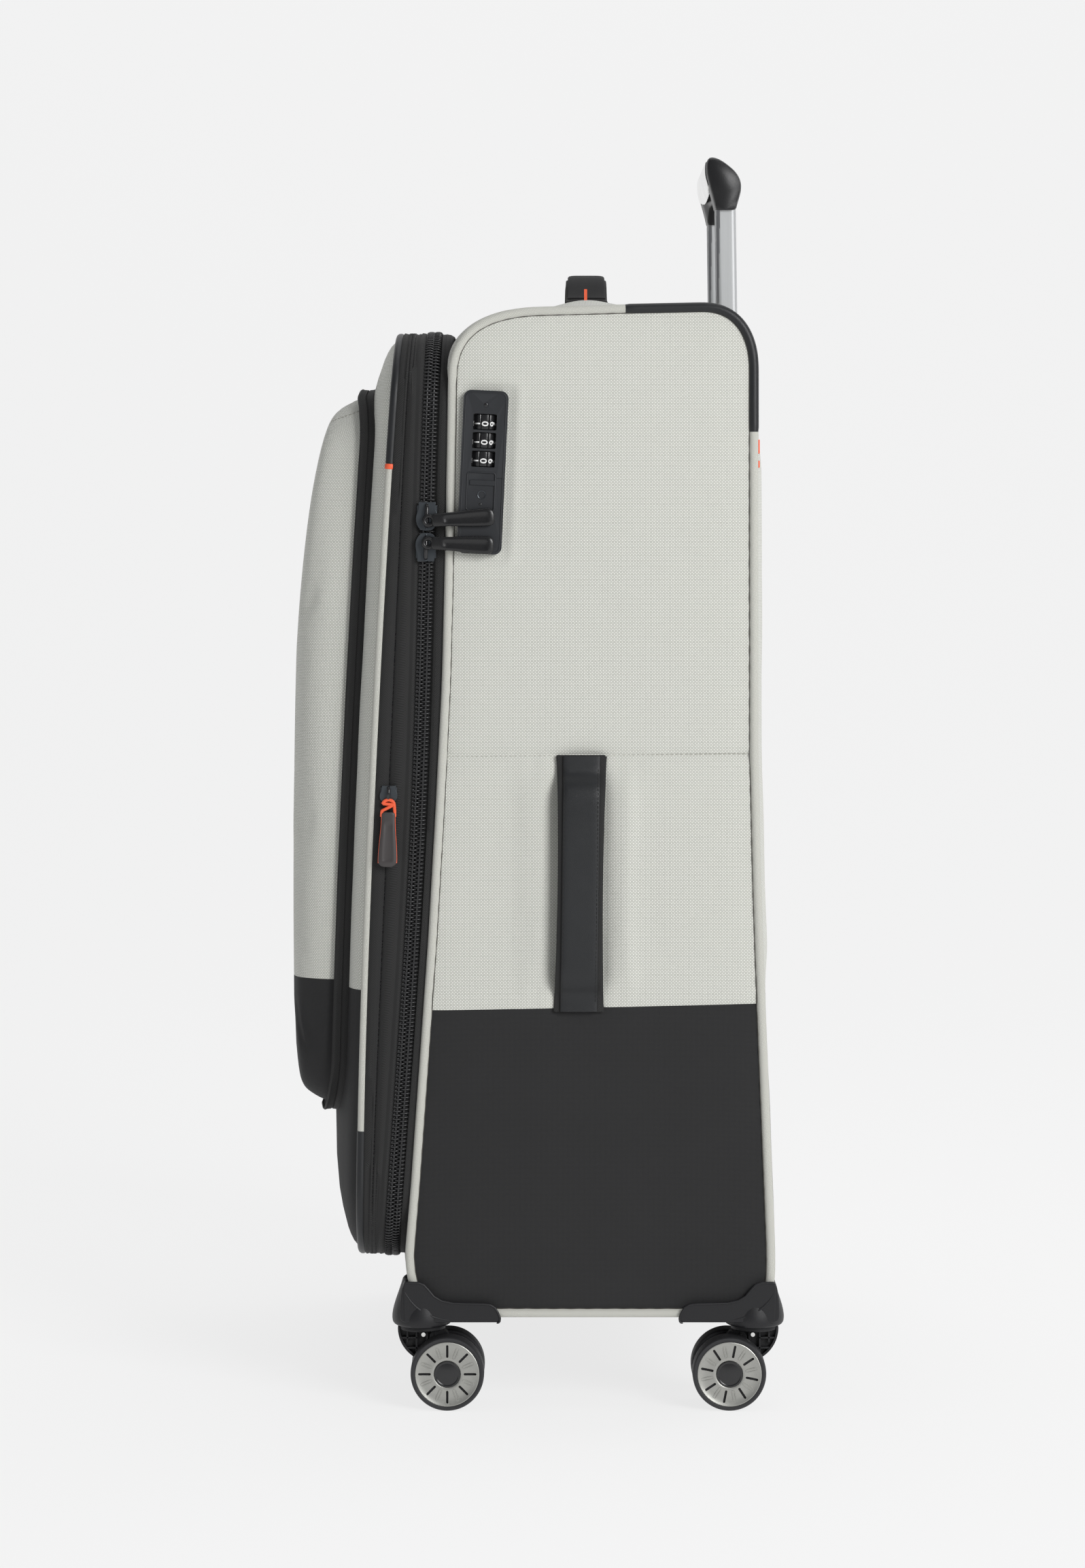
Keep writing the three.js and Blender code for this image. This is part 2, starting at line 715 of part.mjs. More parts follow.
const buttonSlot = box(
  -slideButton.halfX - gap,
  slideButton.halfX + gap,
  -10,
  slideButton.depth + gap - lock.proud,
  slideButton.z - slideButton.half - slideButton.travel - gap,
  slideButton.z + slideButton.half + gap,
);
const lockPlate = prismY(plateShape, -lock.proud, -gap);
const lockBack = box(
  -lockBox.width / 2,
  lockBox.width / 2,
  -gap - 1,
  lockBox.depth,
  -lockBox.height / 2,
  lockBox.height / 2,
);
lockGroup.add(named("lock_case", cut(join(lockPlate, lockBack), ...dialWindows, keyHole, buttonSlot), "plastic"));
dialHeights.forEach((z, i) => {
  const made = cylinder(dial.radius, dial.thick, 20, "z").translate(0, dialAxisY, z);
  lockGroup.add(named("lock_dial_" + (i + 1), made, "plastic"));
});
const keyBarrel = cylinder(keyPlace.radius, keyPlace.depth - 1, 20);
lockGroup.add(
  named("lock_key_barrel", keyBarrel.translate(0, (keyPlace.depth - 1) / 2 - lock.proud + 0.3, keyPlace.z), "steel"),
);
const slideBar = box(
  -slideButton.halfX,
  slideButton.halfX,
  -lock.proud,
  slideButton.depth - lock.proud,
  slideButton.z - slideButton.half,
  slideButton.z + slideButton.half,
);
lockGroup.add(named("lock_slide", slideBar, "plastic"));

// ---- Zip sliders and their pulls ----

// A slider body with its bridge, seen from outside: x across the zip, z along it, y = 0 on the tape.
function sliderSolid(width, length, thick) {
  const shape = new THREE.Shape();
  shape.moveTo(-width * 0.3, -length / 2);
  shape.lineTo(width * 0.3, -length / 2);
  shape.quadraticCurveTo(width * 0.56, -length * 0.05, width * 0.44, length / 2);
  shape.lineTo(-width * 0.44, length / 2);
  shape.quadraticCurveTo(-width * 0.56, -length * 0.05, -width * 0.3, -length / 2);
  const plate = prismY(shape, -thick, -gap);
  const bridge = box(-1.6, 1.6, -thick - 3, -thick + 0.5, -length * 0.3, length * 0.3);
  const eye = box(-3, 3, -thick - 1.6, -thick, -length * 0.16, length * 0.16);
  return cut(join(plate, bridge), eye);
}

// A pull that starts at its eye and runs along +x.
function pullSolid(length, narrow, broad, thick) {
  const shape = new THREE.Shape();
  shape.moveTo(0, -narrow / 2);
  shape.lineTo(length - 3, -broad / 2);
  shape.quadraticCurveTo(length, -broad / 2, length, 3 - broad / 2);
  shape.lineTo(length, broad / 2 - 3);
  shape.quadraticCurveTo(length, broad / 2, length - 3, broad / 2);
  shape.lineTo(0, narrow / 2);
  return prismY(shape, -thick, 0);
}

const tapeFace = -ring.halfY;
const pullFace = -halfWidth - lock.proud - gap;
for (const [name, z, way] of [
  ["upper", 631.5, 1],
  ["lower", 609.5, -1],
]) {
  const x = xAt(zipLine, z);
  const slider = new THREE.Group();
  slider.position.set(x, tapeFace, z);
  if (way > 0) slider.rotation.y = Math.PI;
  slider.add(named("main_slider_" + name, sliderSolid(15, 19.5, 4), "plastic"));
  body.add(slider);
  const pull = new THREE.Group();
  pull.position.set(x + 5, pullFace, z - way * 3);
  pull.rotation.y = way > 0 ? -0.06 : 0.04;
  pull.add(named("main_pull_" + name, pullSolid(43, 8.5, 12, 5), "rubber"));
  body.add(pull);
}

const expanderSlider = new THREE.Group();
expanderSlider.position.set(xAt(expanderLine, 435), tapeFace, 435);
expanderSlider.add(named("expander_slider", sliderSolid(11, 12, 3), "plastic"));
body.add(expanderSlider);
const expanderPull = new THREE.Group();
expanderPull.position.set(xAt(expanderLine, 435), tapeFace - 3.4, 427.5);
expanderPull.rotation.y = Math.PI / 2;
expanderPull.add(named("expander_pull", pullSolid(43, 9, 13.4, 4), "rubber"));
body.add(expanderPull);

// The front pocket's slider is parked on the hinge side of the pocket.
const pocketSlider = new THREE.Group();
pocketSlider.position.set(-133.5, pocket.halfY, 560);
pocketSlider.rotation.z = Math.PI;
pocketSlider.add(named("pocket_slider", sliderSolid(9, 11, 3), "plastic"));
body.add(pocketSlider);
const pocketPull = new THREE.Group();
pocketPull.position.set(-133.5, pocket.halfY + 3.4, 553);
pocketPull.rotation.set(0, Math.PI / 2, Math.PI, "ZYX");
pocketPull.add(named("pocket_pull", pullSolid(38, 8, 11, 4), "rubber"));
body.add(pocketPull);

export default suitcase;
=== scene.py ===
import math

import bmesh
import bpy
import numpy as np
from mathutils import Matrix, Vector, noise


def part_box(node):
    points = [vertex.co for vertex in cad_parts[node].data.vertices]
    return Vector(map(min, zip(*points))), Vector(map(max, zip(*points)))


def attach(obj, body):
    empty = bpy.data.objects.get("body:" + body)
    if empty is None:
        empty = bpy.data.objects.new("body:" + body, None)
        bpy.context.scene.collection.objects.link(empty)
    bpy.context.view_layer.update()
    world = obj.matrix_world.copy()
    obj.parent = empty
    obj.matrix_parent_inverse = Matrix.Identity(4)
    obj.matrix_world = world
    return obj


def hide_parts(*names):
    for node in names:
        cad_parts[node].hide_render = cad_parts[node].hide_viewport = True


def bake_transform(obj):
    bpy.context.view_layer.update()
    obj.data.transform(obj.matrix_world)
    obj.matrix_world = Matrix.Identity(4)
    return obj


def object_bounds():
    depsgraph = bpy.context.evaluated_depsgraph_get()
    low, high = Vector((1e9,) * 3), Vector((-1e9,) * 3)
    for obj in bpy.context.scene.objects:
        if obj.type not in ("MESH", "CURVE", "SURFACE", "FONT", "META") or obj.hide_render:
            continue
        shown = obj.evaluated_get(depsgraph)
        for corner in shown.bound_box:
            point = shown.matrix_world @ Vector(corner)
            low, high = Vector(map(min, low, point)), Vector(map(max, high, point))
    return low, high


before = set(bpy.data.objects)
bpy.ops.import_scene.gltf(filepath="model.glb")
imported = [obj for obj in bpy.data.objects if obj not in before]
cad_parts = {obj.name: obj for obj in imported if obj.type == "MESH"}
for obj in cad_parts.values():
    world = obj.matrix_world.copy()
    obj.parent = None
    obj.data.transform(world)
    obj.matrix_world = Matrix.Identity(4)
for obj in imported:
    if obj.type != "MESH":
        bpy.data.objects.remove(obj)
cadBox = [list(p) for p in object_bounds()]
midY = 500 * (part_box("side_panel_lock")[0][1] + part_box("side_panel_hinge")[1][1])  # the case's middle plane, mm
floorZ = cadBox[0][2]
print("frame loaded, case middle at", round(midY, 2))

# Points below are in mm, with y counted from the case's middle plane.

def toFrame(points):
    return (np.asarray(points, float).reshape(-1, 3) + (0, midY, 0)) * 0.001


# shader helpers

class Wire:  # a socket that can be used in sums
    def __init__(self, tree, socket):
        self.tree, self.socket = tree, socket

    def maths(self, operation, *others):
        return add(self.tree, "Math", {"operation": operation}, dict(enumerate((self,) + others)))

    def __add__(self, other): return self.maths("ADD", other)
    def __mul__(self, other): return self.maths("MULTIPLY", other)
    def __sub__(self, other): return self.maths("SUBTRACT", other)
    def __pow__(self, other): return self.maths("POWER", other)
    def __rsub__(self, other): return add(self.tree, "Math", {"operation": "SUBTRACT"}, {0: other, 1: self})
    __radd__ = __add__
    __rmul__ = __mul__

    def sine(self): return self.maths("SINE")
    def size(self): return self.maths("ABSOLUTE")
    def part(self): return self.maths("FRACT")
    def ramp(self, low, high):  # 0 at low, 1 at high
        return add(self.tree, "MapRange", {"clamp": True}, {"Value": self, "From Min": low, "From Max": high})


def add(tree, kind, settings=None, inputs=None, out=0):
    node = tree.nodes.new("ShaderNode" + kind)
    for key, value in (settings or {}).items():
        if key == "stops":
            while len(node.color_ramp.elements) < len(value):
                node.color_ramp.elements.new(0.5)
            for stop, (at, colour) in zip(node.color_ramp.elements, value):
                stop.position, stop.color = at, colour
        else:
            setattr(node, key, value)
    for key, value in (inputs or {}).items():
        if isinstance(value, Wire):
            tree.links.new(value.socket, node.inputs[key])
        else:
            node.inputs[key].default_value = value
    return Wire(tree, node.outputs[out])


def mixed(tree, share, a, b):
    return add(tree, "Mix", {"data_type": "RGBA"}, {0: share, 6: a, 7: b}, out=2)


def noiseOf(tree, scale, detail=2.0, where=None, out=0):
    place = where or add(tree, "TexCoord", out=3)
    return add(tree, "TexNoise", {}, {"Vector": place, "Scale": scale, "Detail": detail}, out)


def newPaint(name, **values):
    made = bpy.data.materials.new(name)
    made.use_nodes = True
    tree = made.node_tree
    shader = tree.nodes["Principled BSDF"]
    for key, value in values.items():
        shader.inputs[key.replace("_", " ")].default_value = value
    return made, tree, shader


def feed(tree, shader, height=None, depth=0.0002, strength=1.0, **wires):
    for key, wire in wires.items():
        tree.links.new(wire.socket, shader.inputs[key.replace("_", " ")])
    if height is not None:
        bump = add(tree, "Bump", {}, {"Height": height, "Distance": depth, "Strength": strength})
        tree.links.new(bump.socket, shader.inputs["Normal"])


# finishes

def clothUv(tree):  # where a point lies on its own cloth, in metres
    place = add(tree, "Attribute", {"attribute_name": "cloth"}, out=1)
    across = add(tree, "SeparateXYZ", {}, {0: place})
    return across, Wire(tree, across.socket.node.outputs[1])


def wovenPaint(name, warp, weft, gapShade, pitch, depth=0.00022, rough=0.85, sheen=0.15, turn=0.0, soil=0.12):
    made, tree, shader = newPaint(name, Roughness=rough, Sheen_Weight=sheen, Sheen_Roughness=0.5)
    u, v = clothUv(tree)
    if turn:  # the threads run at an angle to the piece
        c, s = math.cos(turn), math.sin(turn)
        u, v = u * c + v * s, v * c - u * s
    a, b = (u * (math.pi / pitch)).sine(), (v * (math.pi / pitch)).sine()
    cross = a * b
    crown = cross.size() ** 0.45  # each crossing of threads is a small cushion
    over = cross.ramp(-0.12, 0.12)
    drift = noiseOf(tree, 9.0, 3.0)
    fuzz = noiseOf(tree, 2600.0, 1.0)
    threads = mixed(tree, over, weft, warp)
    # painted shade: the gaps between the thread crossings take the darker gap colour
    deep = mixed(tree, crown.ramp(0.15, 0.62), gapShade, threads)
    dusty = mixed(tree, drift.ramp(0.35, 0.75) * soil, deep, tuple(0.8 * k for k in warp[:3]) + (1.0,))
    feed(tree, shader, crown + fuzz * 0.35, depth, 0.9, Base_Color=dusty,
         Roughness=0.08 * fuzz + (rough - 0.04))
    return made


def fineClothPaint(name, base, lift, pitch, herring=False, depth=0.00012, rough=0.7, sheen=0.03):
    made, tree, shader = newPaint(name, Roughness=rough, Sheen_Weight=sheen, Sheen_Roughness=0.45,
                                  Specular_IOR_Level=0.25)
    u, v = clothUv(tree)
    if herring:  # slanted ribs that turn back every few mm
        turnBack = 0.0052
        side = ((u * (1 / turnBack)).part() - 0.5).size() * turnBack
        rib = ((side + v) * (math.pi / pitch)).sine().size()
    else:
        rib = ((u * (math.pi / pitch)).sine() * (v * (math.pi / pitch)).sine()).size() ** 0.5
    fuzz = noiseOf(tree, 1800.0, 2.0)
    drift = noiseOf(tree, 12.0, 2.0)
    # painted shade and highlight: hollows between the ribs keep the darker base colour, crests take the lighter
    # lift colour
    colour = mixed(tree, rib.ramp(0.2, 0.9) * 0.8 + drift * 0.2, base, lift)
    feed(tree, shader, rib + fuzz * 0.4, depth, 0.8, Base_Color=colour, Roughness=fuzz * 0.15 + (rough - 0.07))
    return made


def mouldedPaint(name, base, rough=0.45, grain=0.00006, grainScale=900.0, metal=0.0, coat=0.0, wear=0.25):
    made, tree, shader = newPaint(name, Metallic=metal, Coat_Weight=coat, Coat_Roughness=0.2,
                                  Specular_IOR_Level=0.36)
    fine = noiseOf(tree, grainScale, 2.0)
    broad = noiseOf(tree, 18.0, 3.0)
    edges = add(tree, "NewGeometry", out=7).ramp(0.52, 0.6)  # painted highlight: lighter where the surface turns outwards
    blotchAndHighlight = tuple(min(1.0, k * 1.5 + 0.02) for k in base[:3]) + (1.0,)
    # painted highlight on the outward edges, plus uneven tone from the broad noise
    colour = mixed(tree, edges * wear + broad * 0.12, base, blotchAndHighlight)
    feed(tree, shader, fine, grain, 0.7, Base_Color=colour,
         Roughness=fine * 0.12 + broad * 0.1 + (rough - 0.11))
    return made


def brushedPaint(name, base, rough=0.32, stretch=(900.0, 900.0, 8.0), metal=0.9):
    made, tree, shader = newPaint(name, Metallic=metal)
    place = add(tree, "TexCoord", out=3)
    long = add(tree, "VectorMath", {"operation": "MULTIPLY"}, {0: place, 1: stretch})
    streak = add(tree, "TexNoise", {}, {"Vector": long, "Scale": 1.0, "Detail": 2.0})
    broad = noiseOf(tree, 14.0, 2.0)
    dark = tuple(0.86 * k for k in base[:3]) + (1.0,)
    colour = mixed(tree, streak * 0.7 + broad * 0.2, base, dark)
    feed(tree, shader, streak, 0.00002, 0.5, Base_Color=colour, Roughness=streak * 0.14 + (rough - 0.07))
    return made


def smoothHidePaint(name, base, rough=0.42):
    made, tree, shader = newPaint(name, Specular_IOR_Level=0.4)
    cells = add(tree, "TexVoronoi", {"feature": "DISTANCE_TO_EDGE"},
                {"Vector": add(tree, "TexCoord", out=3), "Scale": 1400.0})
    broad = noiseOf(tree, 30.0, 3.0)
    lighter = tuple(1.35 * k for k in base[:3]) + (1.0,)
    colour = mixed(tree, broad.ramp(0.3, 0.75) * 0.5, base, lighter)
    feed(tree, shader, cells.ramp(0.0, 0.25), 0.00005, 0.6, Base_Color=colour,
         Roughness=broad * 0.15 + (rough - 0.07))
    return made


# the gap colours here are painted shade between the threads
stone = {"warp": (0.80, 0.805, 0.755, 1), "weft": (0.60, 0.605, 0.555, 1), "gap": (0.27, 0.27, 0.235, 1),
         "pitch": 0.00112}
canvas = wovenPaint("stoneCanvas", stone["warp"], stone["weft"], stone["gap"], stone["pitch"])
cordCloth = wovenPaint("pipingCloth", (0.68, 0.68, 0.63, 1), (0.56, 0.56, 0.51, 1), (0.30, 0.30, 0.26, 1),
                       0.00075, 0.00018, 0.8, 0.1, 0.6)
charcoal = fineClothPaint("charcoalCloth", (0.012, 0.012, 0.0125, 1), (0.031, 0.031, 0.032, 1), 0.00055,
                          rough=0.72)
tapeCloth = fineClothPaint("tapeCloth", (0.004, 0.004, 0.004, 1), (0.036, 0.036, 0.036, 1), 0.0012, True,
                           0.00024, 0.66)
liningCloth = fineClothPaint("liningCloth", (0.13, 0.13, 0.135, 1), (0.17, 0.17, 0.175, 1), 0.0004, rough=0.55)
hide = smoothHidePaint("smoothTrim", (0.0125, 0.0135, 0.015, 1))
plastic = mouldedPaint("mouldedBlack", (0.0095, 0.0095, 0.011, 1), 0.5, 0.00008, 1100.0)
lockPlastic = mouldedPaint("lockShell", (0.0145, 0.016, 0.019, 1), 0.52, 0.00005, 1500.0)
gripPlastic = mouldedPaint("gripSatin", (0.012, 0.012, 0.013, 1), 0.36, 0.00005, 1500.0)
pullRubber = mouldedPaint("pullRubber", (0.009, 0.009, 0.0098, 1), 0.28, 0.00002, 700.0, coat=0.15)
coilNylon = mouldedPaint("coilNylon", (0.014, 0.014, 0.015, 1), 0.28, 0.00001, 900.0, coat=0.2, wear=0.5)
tyre = mouldedPaint("tyreRubber", (0.022, 0.022, 0.024, 1), 0.6, 0.00006, 700.0)
rimPaint = brushedPaint("rimSilver", (0.40, 0.40, 0.375, 1), 0.38, (500.0, 500.0, 500.0), 0.75)
glossBlack = mouldedPaint("capGloss", (0.010, 0.010, 0.011, 1), 0.22, 0.00001, 500.0, coat=0.4)
anodised = brushedPaint("anodisedSilver", (0.50, 0.51, 0.515, 1), 0.5, metal=0.45)
bright = brushedPaint("brightInsert", (0.80, 0.80, 0.79, 1), 0.16, (40.0, 40.0, 40.0), 1.0)
gunmetal = brushedPaint("sliderMetal", (0.085, 0.095, 0.105, 1), 0.34, (300.0, 300.0, 300.0), 0.85)
orange = mouldedPaint("orangeTrim", (0.80, 0.115, 0.045, 1), 0.5, 0.00004, 900.0, wear=0.1)
pullGrey = mouldedPaint("pullGrey", (0.05, 0.045, 0.045, 1), 0.4, 0.00003, 900.0)
numeral = mouldedPaint("numeralWhite", (0.80, 0.80, 0.79, 1), 0.5, 0.00001, 600.0, wear=0.0)
thread = fineClothPaint("seamThread", (0.36, 0.355, 0.32, 1), (0.48, 0.475, 0.43, 1), 0.0009, rough=0.8)
seamShade = fineClothPaint("seamShade", (0.05, 0.047, 0.042, 1), (0.13, 0.125, 0.11, 1), 0.0008, rough=0.9)
darkThread = fineClothPaint("darkThread", (0.02, 0.02, 0.02, 1), (0.045, 0.045, 0.045, 1), 0.0009, rough=0.7)
print("finishes made")


# mesh helpers: points go in as mm and come out as metres in the frame

def piece(name, points, faces, paints, body, stands=(), finish=None, faceSlots=None, cloth=None, sharp=35.0,
          turnOut=True):
    mesh = bpy.data.meshes.new(name)
    mesh.from_pydata(toFrame(points).tolist(), [], [tuple(int(k) for k in f) for f in faces])
    for one in paints if isinstance(paints, (list, tuple)) else [paints]:
        mesh.materials.append(one)
    if faceSlots is not None:
        mesh.polygons.foreach_set("material_index", np.asarray(faceSlots, np.int32))
    where = np.asarray(points, float).reshape(-1, 3) * 0.001
    flat = where[:, [0, 2, 1]] if cloth is None else np.c_[np.asarray(cloth, float) * 0.001,
                                                           np.zeros(len(where))]
    layer = mesh.attributes.new("cloth", "FLOAT_VECTOR", "POINT")
    layer.data.foreach_set("vector", flat.astype(np.float32).ravel())
    if turnOut:
        work = bmesh.new()
        work.from_mesh(mesh)
        bmesh.ops.recalc_face_normals(work, faces=work.faces)
        work.to_mesh(mesh)
        work.free()
    mesh.polygons.foreach_set("use_smooth", [True] * len(mesh.polygons))
    mesh.set_sharp_from_angle(angle=math.radians(sharp))
    made = bpy.data.objects.new(name, mesh)
    bpy.context.collection.objects.link(made)
    if body:
        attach(made, body)
    if stands:
        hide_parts(*([stands] if isinstance(stands, str) else stands))
    return made


def modifier(made, kind, **values):
    one = made.modifiers.new(kind.lower(), kind)
    for key, value in values.items():
        setattr(one, key, value)
    return one


def rounded(made, width, segments=3, angle=30):
    return modifier(made, "BEVEL", width=width * 0.001, segments=segments, limit_method="ANGLE",
                    angle_limit=math.radians(angle), harden_normals=False)


def gridFaces(rows, columns, wrapRows=False, wrapColumns=False):
    faces = []
    for r in range(rows if wrapRows else rows - 1):
        for c in range(columns if wrapColumns else columns - 1):
            r2, c2 = (r + 1) % rows, (c + 1) % columns
            faces.append((r * columns + c, r * columns + c2, r2 * columns + c2, r2 * columns + c))
    return faces


def loft(rings, closed=True, caps=True):
    rings = np.asarray(rings, float)
    rows, columns = rings.shape[:2]
    faces = gridFaces(rows, columns, False, closed)
    if caps and closed:
        faces.append(tuple(range(columns))[::-1])
        faces.append(tuple((rows - 1) * columns + k for k in range(columns)))
    return rings.reshape(-1, 3), faces


def joined(*parts):  # several (points, faces) as one
    points, faces, start = [], [], 0
    for p, f in parts:
        p = np.asarray(p, float).reshape(-1, 3)
        points.append(p)
        faces += [tuple(k + start for k in face) for face in f]
        start += len(p)
    return np.vstack(points), faces


def tube(path, radius, sides=10, closed=False, up=(0, 1, 0), flat=1.0, spin=0.0):
    path = np.asarray(path, float)
    if closed:
        along = np.roll(path, -1, 0) - np.roll(path, 1, 0)
    else:
        along = np.gradient(path, axis=0)
    along /= np.linalg.norm(along, axis=1)[:, None]
    up = np.broadcast_to(np.asarray(up, float), path.shape)
    side = np.cross(along, up)
    side /= np.linalg.norm(side, axis=1)[:, None]
    other = np.cross(side, along)
    turn = np.arange(sides) * 2 * np.pi / sides + spin
    radius = np.broadcast_to(np.asarray(radius, float), (len(path),))
    rings = path[:, None] + radius[:, None, None] * (
        np.cos(turn)[None, :, None] * side[:, None] + flat * np.sin(turn)[None, :, None] * other[:, None])
    if closed:
        return rings.reshape(-1, 3), gridFaces(len(path), sides, True, True)
    return loft(rings)


def tubeCloth(path, radius, sides):  # cloth places along and round a cord
    path = np.asarray(path, float)
    run = np.r_[0, np.cumsum(np.linalg.norm(np.diff(path, axis=0), axis=1))]
    turn = np.arange(sides) * 2 * np.pi / sides * radius
    turn = np.minimum(turn, 2 * np.pi * radius - turn)
    return np.stack(np.broadcast_arrays(run[:, None], turn[None, :]), -1).reshape(-1, 2)


def resampled(points, count, closed=False):
    points = np.asarray(points, float)
    if closed:
        points = np.vstack([points, points[:1]])
    run = np.r_[0, np.cumsum(np.linalg.norm(np.diff(points, axis=0), axis=1))]
    at = np.linspace(0, run[-1], count, endpoint=not closed)
    return np.stack([np.interp(at, run, points[:, k]) for k in range(points.shape[1])], -1)


def bezier(a, b, c, d, steps=16):
    t = np.linspace(0, 1, steps)[:, None]
    a, b, c, d = map(np.array, (a, b, c, d))
    return (1 - t) ** 3 * a + 3 * (1 - t) ** 2 * t * b + 3 * (1 - t) * t * t * c + t ** 3 * d


def smoothStep(x, low, high):
    t = np.clip((np.asarray(x, float) - low) / (high - low), 0, 1)
    return t * t * (3 - 2 * t)


def wobble(x, z, size, seed=0.0):  # slow unevenness, -1 to 1
    x, z = np.broadcast_arrays(np.asarray(x, float), np.asarray(z, float))
    flat = [noise.noise(Vector((a / size, b / size, seed))) for a, b in zip(x.ravel(), z.ravel())]
    return np.array(flat).reshape(x.shape)


# a rounded rectangle of (y, z), evenly spaced, from the middle of the top
def ringLoop(halfY, low, high, radius, count):
    corner = np.linspace(0, math.pi / 2, 14)
    pts = [(0, high)]
    for y, z, start in ((halfY - radius, high - radius, math.pi / 2), (halfY - radius, low + radius, 0.0),
                        (radius - halfY, low + radius, -math.pi / 2), (radius - halfY, high - radius, math.pi)):
        pts += [(y + radius * math.cos(start - t), z + radius * math.sin(start - t)) for t in corner]
    return resampled(pts, count, True)


def outwards(loop):  # unit normals of a clockwise (y, z) loop
    along = np.roll(loop, -1, 0) - np.roll(loop, 1, 0)
    along /= np.linalg.norm(along, axis=1)[:, None]
    return np.stack([-along[:, 1], along[:, 0]], -1)


# the case's own lines

case = {"half": 238.0, "piping": 3.2, "pipingTrim": 3.6, "seamZ": 462.5, "darkFront": 282.0, "darkBack": 287.0,
        "darkRear": 291.0}
opening = {"half": 235.0, "low": 102.0, "high": 763.0, "radius": 55.0}
backEdge = [(167, 113), (163.4, 205), (160, 290), (157.2, 375), (155.2, 464), (155, 600), (155, 737)]
frontEdge = [(-64.3, 736), (-66.2, 620), (-68.7, 517), (-73.2, 425), (-78.4, 334), (-84.6, 245), (-90.7, 159),
             (-94.8, 110)]


def lineOf(points, degree=4):  # x as a smooth function of height
    z, x = np.array([p[1] for p in points]) / 1000, np.array([p[0] for p in points])
    fit = np.poly1d(np.polyfit(z, x, degree))
    return lambda height: fit(np.asarray(height, float) / 1000)


frontX = lineOf(frontEdge)
zipX = lineOf([(-74.5, 770), (-76.2, 730), (-82.2, 517), (-89.8, 334), (-101.8, 158), (-105, 105)])
coverX = lineOf([(-98.5, 770), (-104, 690), (-114, 517), (-121.7, 334), (-125.6, 198), (-126.4, 105)])
padX = lineOf([(159, 704), (158, 640), (158.2, 540), (161, 464), (165, 324), (165, 217), (168.5, 125)])


def expanderX(z):
    return zipX(z) + 0.65 * (coverX(z) - zipX(z))


outline = np.vstack([
    [(-70, 65), (138, 65)],
    bezier((138, 65), (156, 65), (166, 76), (167, 96)),
    resampled(np.array(backEdge), 40),
    bezier((155, 737), (155, 761), (143, 782), (118, 782.5)),
    [(56, 781.2), (-6, 779.5)],
    bezier((-6, 779.5), (-38, 777), (-61, 766), (-64.3, 736)),
    resampled(np.array(frontEdge), 40),
    bezier((-94.8, 110), (-94, 82), (-86, 66), (-70, 65))])
outline = outline[np.r_[True, np.linalg.norm(np.diff(outline, axis=0), axis=1) > 0.01]]
outline = resampled(outline, 900, True)
for _ in range(6):  # rounds the small kinks off
    outline = (np.roll(outline, 1, 0) + 2 * outline + np.roll(outline, -1, 0)) / 4
tangent = np.roll(outline, -1, 0) - np.roll(outline, 1, 0)
tangent /= np.linalg.norm(tangent, axis=1)[:, None]
outlineOut = np.stack([tangent[:, 1], -tangent[:, 0]], -1)  # away from the case
outlineRun = np.r_[0, np.cumsum(np.linalg.norm(np.diff(outline, axis=0), axis=1))]
total = outlineRun[-1] + np.linalg.norm(outline[0] - outline[-1])


def onOutline(run, proud=0.0):  # (x, z) at a distance along the outline
    at = np.mod(np.asarray(run, float), total)
    ring = np.r_[outlineRun, total]
    grab = lambda values: np.interp(at, ring, np.r_[values, values[:1]])
    x, z = grab(outline[:, 0]), grab(outline[:, 1])
    return x + proud * grab(outlineOut[:, 0]), z + proud * grab(outlineOut[:, 1])


def runAt(test):  # the first distance along the outline where test(x, z) holds
    return float(outlineRun[np.argmax(test(outline[:, 0], outline[:, 1]))])


runBackLow = runAt(lambda x, z: (x > 150) & (z > 113))
runBackDark = runAt(lambda x, z: (x > 150) & (z > case["darkRear"]))
runTrimEnd = runAt(lambda x, z: (x > 150) & (z > 690.5))
runTrayLow = runAt(lambda x, z: (x > 140) & (z > 734.6))
runTrayTop = runAt(lambda x, z: (z > 700) & (x < 115.6))
runTrimStart = runAt(lambda x, z: (z > 700) & (x < 63))
print("outline length", round(float(total), 1))


# side panels: padded fabric between the pipings, with a stitched seam and a charcoal lower part

sideLook = {"inset": 5.2, "crown": 2.6, "edgeRoll": 13.0, "seamDepth": 1.5, "handlePull": 4.2, "handleX": 29.0,
            "rows": 236, "columns": 90}
lock = {"x": -39.8, "z": 662.5, "tilt": 0.047, "half": 15.8, "tall": 57.75, "proud": 4.3, "corner": 5.4,
        "dialRadius": 9.5, "dialDeep": 5.4, "keyAt": -16.0,
        "dials": (35.5, 22.4, 9.3)}  # dial heights above its middle


